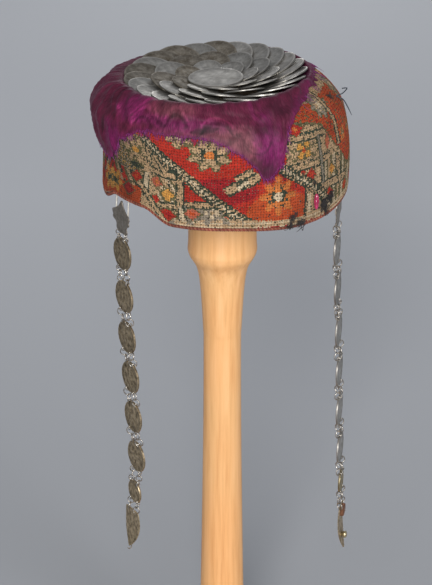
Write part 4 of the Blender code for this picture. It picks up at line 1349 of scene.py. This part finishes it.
def make_chain(name, azimuth, front, palmette, leaf, leaf_length, silvers):
    """Hanger, palmette plate, coins on two columns of rings, and the leaf plate with its end."""
    outwards = Vector((math.cos(math.radians(azimuth)), math.sin(math.radians(azimuth)), 0.0))
    across = Vector((outwards.y, -outwards.x, 0.0))

    def place(sideways, height):
        return Vector((sideways * MM, -front * MM, HEM_HEIGHT + height * MM))

    def facing(point):
        return frame_of(point, across, outwards, UP)

    def add(part, parts, finish, smooth=True):
        add_piece(joined(f"{name}_{part}", parts, smooth), silvers[finish], name, slot="silver")

    plate_middle = place(*palmette)
    leaf_top = place(*leaf)
    leaf_rows = LEAF_OUTLINE * (-leaf_length, 1.0, 1.0)
    add("palmette", [placed(plate_grid(PALMETTE_OUTLINE, 15, 0.12), facing(plate_middle))], "dark")
    add("leaf", [placed(plate_grid(leaf_rows, 23, 0.10), facing(leaf_top))], "olive")
    add("hanger", [hanger_part(azimuth, plate_middle, across)], "wire")

    flat = Matrix.Rotation(math.radians(90.0), 4, "X")
    stations = [(plate_middle, PALMETTE_HALF_HEIGHT - PLATE_HOLE_INSET)]
    lugs = []
    for number, spot in enumerate(CHAIN_COINS[name]):
        middle = place(*spot)
        last = number == len(CHAIN_COINS[name]) - 1
        radius = SMALL_COIN_RADIUS if last else CHAIN_COIN_RADIUS
        seed = 200 + number + len(name)
        coin = f"{name}_coin_{number + 1}"
        mesh = coin_mesh(coin, radius * COIN_FIT, CHAIN_COIN_THICKNESS, seed, 0.34, 0.14)
        mesh.transform(facing(middle) @ flat @ random_spin())
        finish = "olive"
        if name == "chain_right":
            finish = "ochre" if last else "pewter"
        add_piece(mesh, silvers[finish], name, slot="silver")
        stations.append((middle, radius * MM - HOLE_INSET))
        reach = math.sqrt((radius * MM) ** 2 - COLUMN_OFFSET**2)
        for side, up in ((-1, -1), (-1, 1), (1, -1), (1, 1)):
            hole = middle + across * COLUMN_OFFSET * side + UP * reach * up
            lugs.append(ring_part(hole, across, outwards, LUG_RADIUS, LUG_WIRE))
    stations.append((leaf_top, -PLATE_HOLE_INSET))
    rings = []
    for (upper, drop), (lower, rise) in zip(stations, stations[1:]):
        for side in (-1.0, 1.0):
            shift = across * COLUMN_OFFSET * side
            rings += ring_column(upper + shift - UP * drop, lower + shift + UP * rise, outwards, side)
    add("links", rings + lugs, "ring")
    if name == "chain_left":
        centre = leaf_top - UP * (leaf_length + 1.0) * MM + outwards * LEAF_END_BOW * MM
        hook = arc(centre, outwards, UP, 1.6 * MM, np.radians(np.linspace(100.0, 340.0, 16)))
        add("hook", [tube(hook, RING_WIRE, 8)], "dark")
    else:
        middle = leaf_top - UP * (BLOCK_SIZE.z / 2 + 0.8 * MM) + outwards * BLOCK_SIZE.y / 2
        add("block", [placed(rounded_block(BLOCK_SIZE, BLOCK_BEVEL), facing(middle))], "copper", smooth=False)
        path = [leaf_top - UP * STUD_DROP * MM + outwards * out for out, radius in STUD_PROFILE]
        add("stud", [tube(path, STUD_PROFILE[:, 1], 24)], "ochre")


def rounded_block(size, bevel):
    """Points and faces of a block with bevelled edges."""
    x, y, z = size / 2
    outline = (
        (-x + bevel, y), (x - bevel, y), (x, y - bevel), (x, -y + bevel),
        (x - bevel, -y), (-x + bevel, -y), (-x, -y + bevel), (-x, y - bevel),
    )
    points = []
    for height, inset in ((z, bevel), (z - bevel, 0.0), (-z + bevel, 0.0), (-z, bevel)):
        for px, py in outline:
            points.append((px - math.copysign(inset, px), py - math.copysign(inset, py), height))
    faces = [tuple(range(8)), tuple(range(31, 23, -1))]
    return points, faces + grid_faces(4, 8, flipped=True)


# Stand

def lathe(name, profile, segments, material, node):
    """Turned solid from (radius, height) in metres, top to bottom, both ends on the axis."""
    turns = np.radians(all_round(segments))
    radius, height = np.array(profile[1:-1]).T[..., None]
    rings = np.broadcast_arrays(radius * np.cos(turns), radius * np.sin(turns), height)
    points = np.stack(rings, -1).reshape(-1, 3).tolist()
    top = len(points)
    points += [(0.0, 0.0, profile[0][1]), (0.0, 0.0, profile[-1][1])]
    faces = grid_faces(len(profile) - 2, segments, flipped=True)
    for column in range(segments):
        after = (column + 1) % segments
        faces.append((top, column, after))
        faces.append((top + 1, top - segments + after, top - segments + column))
    mesh = mesh_of(name, points, faces)
    mesh.set_sharp_from_angle(angle=math.radians(50))
    add_piece(mesh, material, node, slot="wood")


def make_stand(material):
    crown_tilt = (POST_HEAD[0][1] + ROSETTE_SIDE) * math.tan(math.radians(ROSETTE_ROLL))
    head_top = CAP_SECTIONS[-1][0] - CLOTH / MM - GAP / MM - crown_tilt
    rows = [(radius, head_top - drop) for drop, radius in POST_HEAD]
    rows += [(radius, height) for height, radius in (*POST_SHAFT, POST_FOOT)]
    fine = smooth_path(rows, 12 * len(rows))
    profile = [(radius * MM, HEM_HEIGHT + height * MM) for radius, height in fine]
    ends = [(0.0, profile[0][1]), (0.0, profile[-1][1])]
    lathe("turned_post", [ends[0], *profile, ends[1]], 96, material, "stand_post")
    foot = [(radius * MM, height * MM) for radius, height in FOOT_PROFILE]
    lathe("turned_foot", foot, 128, material, "stand_base")


# Small things in the cloth

PIN_ROUTE = ((84.0, 76.1), (87.6, 76.3), (84.6, 72.5), (80.3, 70.4), (85.6, 67.3), (91.5, 56.0))
PIN_FORWARD = 10.0
PIN_WIRE = 0.42
PIN_STEPS = 48
THREAD_RADIUS = 0.15 * MM
THREAD_KNOTS = 6
TANGLES = (
    # azimuth and height in mm of the knot, spread in mm, threads
    (320.5, 8.5, 4.6, 14), (325.5, 10.5, 4.2, 12), (322, 3, 4.6, 8), (302, 6, 4, 8),
    (306, 0, 4.2, 12), (301, 0, 3.4, 6), (313.5, 27, 2.2, 3), (345, 74, 2.6, 4),
)


def make_pin(material):
    line = [(x * MM, -PIN_FORWARD * MM, HEM_HEIGHT + height * MM) for x, height in PIN_ROUTE]
    radii = np.full(PIN_STEPS, PIN_WIRE * MM)
    radii[-6:] = np.linspace(0.4, 0.12, 6) * MM
    mesh = joined("bent_wire_pin", [tube(smooth_path(line, PIN_STEPS), radii, 8)])
    add_piece(mesh, material, "bent_pin", slot="dark_wire")


def make_bead(material):
    low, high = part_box("glass_bead")
    share = np.linspace(-1.0, 1.0, 25)
    path = np.array((low + high) / 2) + np.outer(share, (0.0, 0.0, (high.z - low.z) / 2))
    round_end = np.sqrt(np.maximum(1.0 - share**2, 0.02))
    radii = (high.x - low.x) / 2 * round_end * (0.94 + 0.06 * np.cos(share * 9.0))
    mesh = joined("sewn_glass_bead", [tube(path, radii, 20)])
    add_piece(mesh, material, "glass_bead", slot="pink_glass")


def make_tangles(material):
    """Dark sewing threads, knotted and loose, where trimmings were sewn on."""
    parts = []
    for azimuth, height, spread, threads in TANGLES:
        at = np.array([azimuth])
        level = level_at_height(at, np.array([height]))
        centre = cap_points(at, level)
        normal = cap_normals(at, level)
        across = unit(np.cross((0.0, 0.0, 1.0), normal))
        upwards = np.cross(normal, across)
        for thread in range(threads):
            knots = rng.normal(0.0, spread * 0.5, (THREAD_KNOTS, 2))
            lift = np.abs(rng.normal(0.9, 0.5, THREAD_KNOTS))[:, None] + 0.3
            line = centre + across * knots[:, :1] + upwards * knots[:, 1:] + normal * lift
            parts.append(tube(to_world(smooth_path(line, 26)), THREAD_RADIUS, 4))
    add_piece(joined("loose_threads", parts), material, slot="embroidered_cloth")


# Camera, floor and light

def make_camera():
    data = bpy.data.cameras.new("photo_view")
    data.lens = LENS
    camera = bpy.data.objects.new("photo_view", data)
    forward = Vector((0.0, math.cos(CAMERA_TILT), -math.sin(CAMERA_TILT)))
    camera.location = CAMERA_TARGET - forward * CAMERA_DISTANCE
    camera.rotation_euler = (math.pi / 2 - CAMERA_TILT, 0.0, 0.0)
    bpy.context.scene.collection.objects.link(camera)
    bpy.context.scene.camera = camera


# Floor colours from near to far; the paler far tones are painted light
FLOOR_TONES = ((0.0, (0.34, 0.355, 0.38)), (0.5, (0.60, 0.62, 0.655)), (1.0, (0.63, 0.65, 0.685)))
FLOOR_DEPTH = 2.0  # how far behind the stand the last tone starts
FLOOR_HALF = 6.0
FLOOR_DROP = 0.0006


def make_floor():
    """Grey floor with painted light: paler further back, where the lamps light it less."""
    look = Look("grey_floor", FLOOR_TONES[0][1], 0.95)
    place = look.node("SeparateXYZ", Vector=look.place())
    away = look.node("MapRange", Value=place.outputs["Y"])
    look.feed(away, {"From Min": 0.0, "From Max": FLOOR_DEPTH})
    look.shade({"Base Color": look.ramp(away.outputs["Result"], *FLOOR_TONES)})
    corners = [(FLOOR_HALF * x, FLOOR_HALF * y, 0.0) for x, y in ((-1, -1), (1, -1), (1, 1), (-1, 1))]
    mesh = mesh_of("studio_floor", corners, ((0, 1, 2, 3),))
    mesh.materials.append(look.material)
    floor = bpy.data.objects.new("studio_floor", mesh)
    floor.location.z = -FLOOR_DROP
    bpy.context.scene.collection.objects.link(floor)


LIGHTS = (
    # name, place, aim, size, power in watts, colour
    ("key", (-0.25, -2.2, 1.6), (0, 0, 0.36), 0.8, 40, (1, 0.98, 0.95)),
    ("fill", (1.5, -1.8, 1.2), (0, 0, 0.36), 1, 22, (0.98, 0.98, 1)),
    ("low", (-0.1, -2.3, 0.5), (0, 0, 0.34), 0.8, 14, (1, 0.98, 0.96)),
    ("glint", (0.05, 2.2, 0.69), (0, 0, 0.50), 0.6, 2.5, (1, 0.99, 0.97)),
)


def make_lights():
    for name, place, aim, size, power, colour in LIGHTS:
        data = bpy.data.lights.new(name, "AREA")
        data.shape = "DISK"
        data.size = size
        data.energy = power
        data.color = colour
        light = bpy.data.objects.new(name, data)
        light.location = place
        light.rotation_mode = "QUATERNION"
        light.rotation_quaternion = (Vector(aim) - Vector(place)).to_track_quat("-Z", "Y")
        bpy.context.scene.collection.objects.link(light)
    world = bpy.data.worlds.new("studio")
    bpy.context.scene.world = world
    world.use_nodes = True
    background = world.node_tree.nodes["Background"]
    background.inputs["Color"].default_value = (0.62, 0.64, 0.68, 1.0)
    background.inputs["Strength"].default_value = 0.50
    bpy.context.scene.view_settings.view_transform = "Standard"


make_camera()
SILVERS = {
    # rubbed colour, tarnished colour, roughness, fineness of the patches, metallic
    "pewter": ((0.55, 0.53, 0.495), (0.40, 0.38, 0.35), 0.40, 110.0, 0.9),
    "brown": ((0.44, 0.395, 0.33), (0.22, 0.185, 0.14), 0.44, 240.0, 0.9),
    "olive": ((0.66, 0.52, 0.34), (0.19, 0.145, 0.085), 0.42, 330.0, 0.9),
    "dark": ((0.36, 0.32, 0.27), (0.22, 0.195, 0.165), 0.40, 260.0, 0.9),
    "wire": ((0.92, 0.88, 0.80), (0.70, 0.66, 0.58), 0.34, 110.0, 0.45),
    "ring": ((0.66, 0.62, 0.56), (0.16, 0.14, 0.12), 0.28, 420.0, 0.95),
    "ochre": ((0.55, 0.47, 0.30), (0.34, 0.27, 0.15), 0.40, 110.0, 0.9),
    "copper": ((0.36, 0.17, 0.10), (0.20, 0.09, 0.055), 0.45, 110.0, 0.9),
}
silvers = {name: silver_material("silver_" + name, *values) for name, values in SILVERS.items()}
make_stand(wood_material())
make_lining(cotton_material())
make_embroidery(wool_material())
silk = make_silk(silk_material())
fray = make_silk_threads(thread_material("silk_thread", (0.26, 0.03, 0.20)))
make_hem(cord_material())
make_rosette(silvers)
for chain in CHAINS:
    make_chain(*chain, silvers)
make_pin(thread_material("blue_black_wire", (0.035, 0.045, 0.06)))
make_bead(glass_material())
make_tangles(thread_material("dark_thread", (0.03, 0.025, 0.025)))
make_floor()
make_lights()
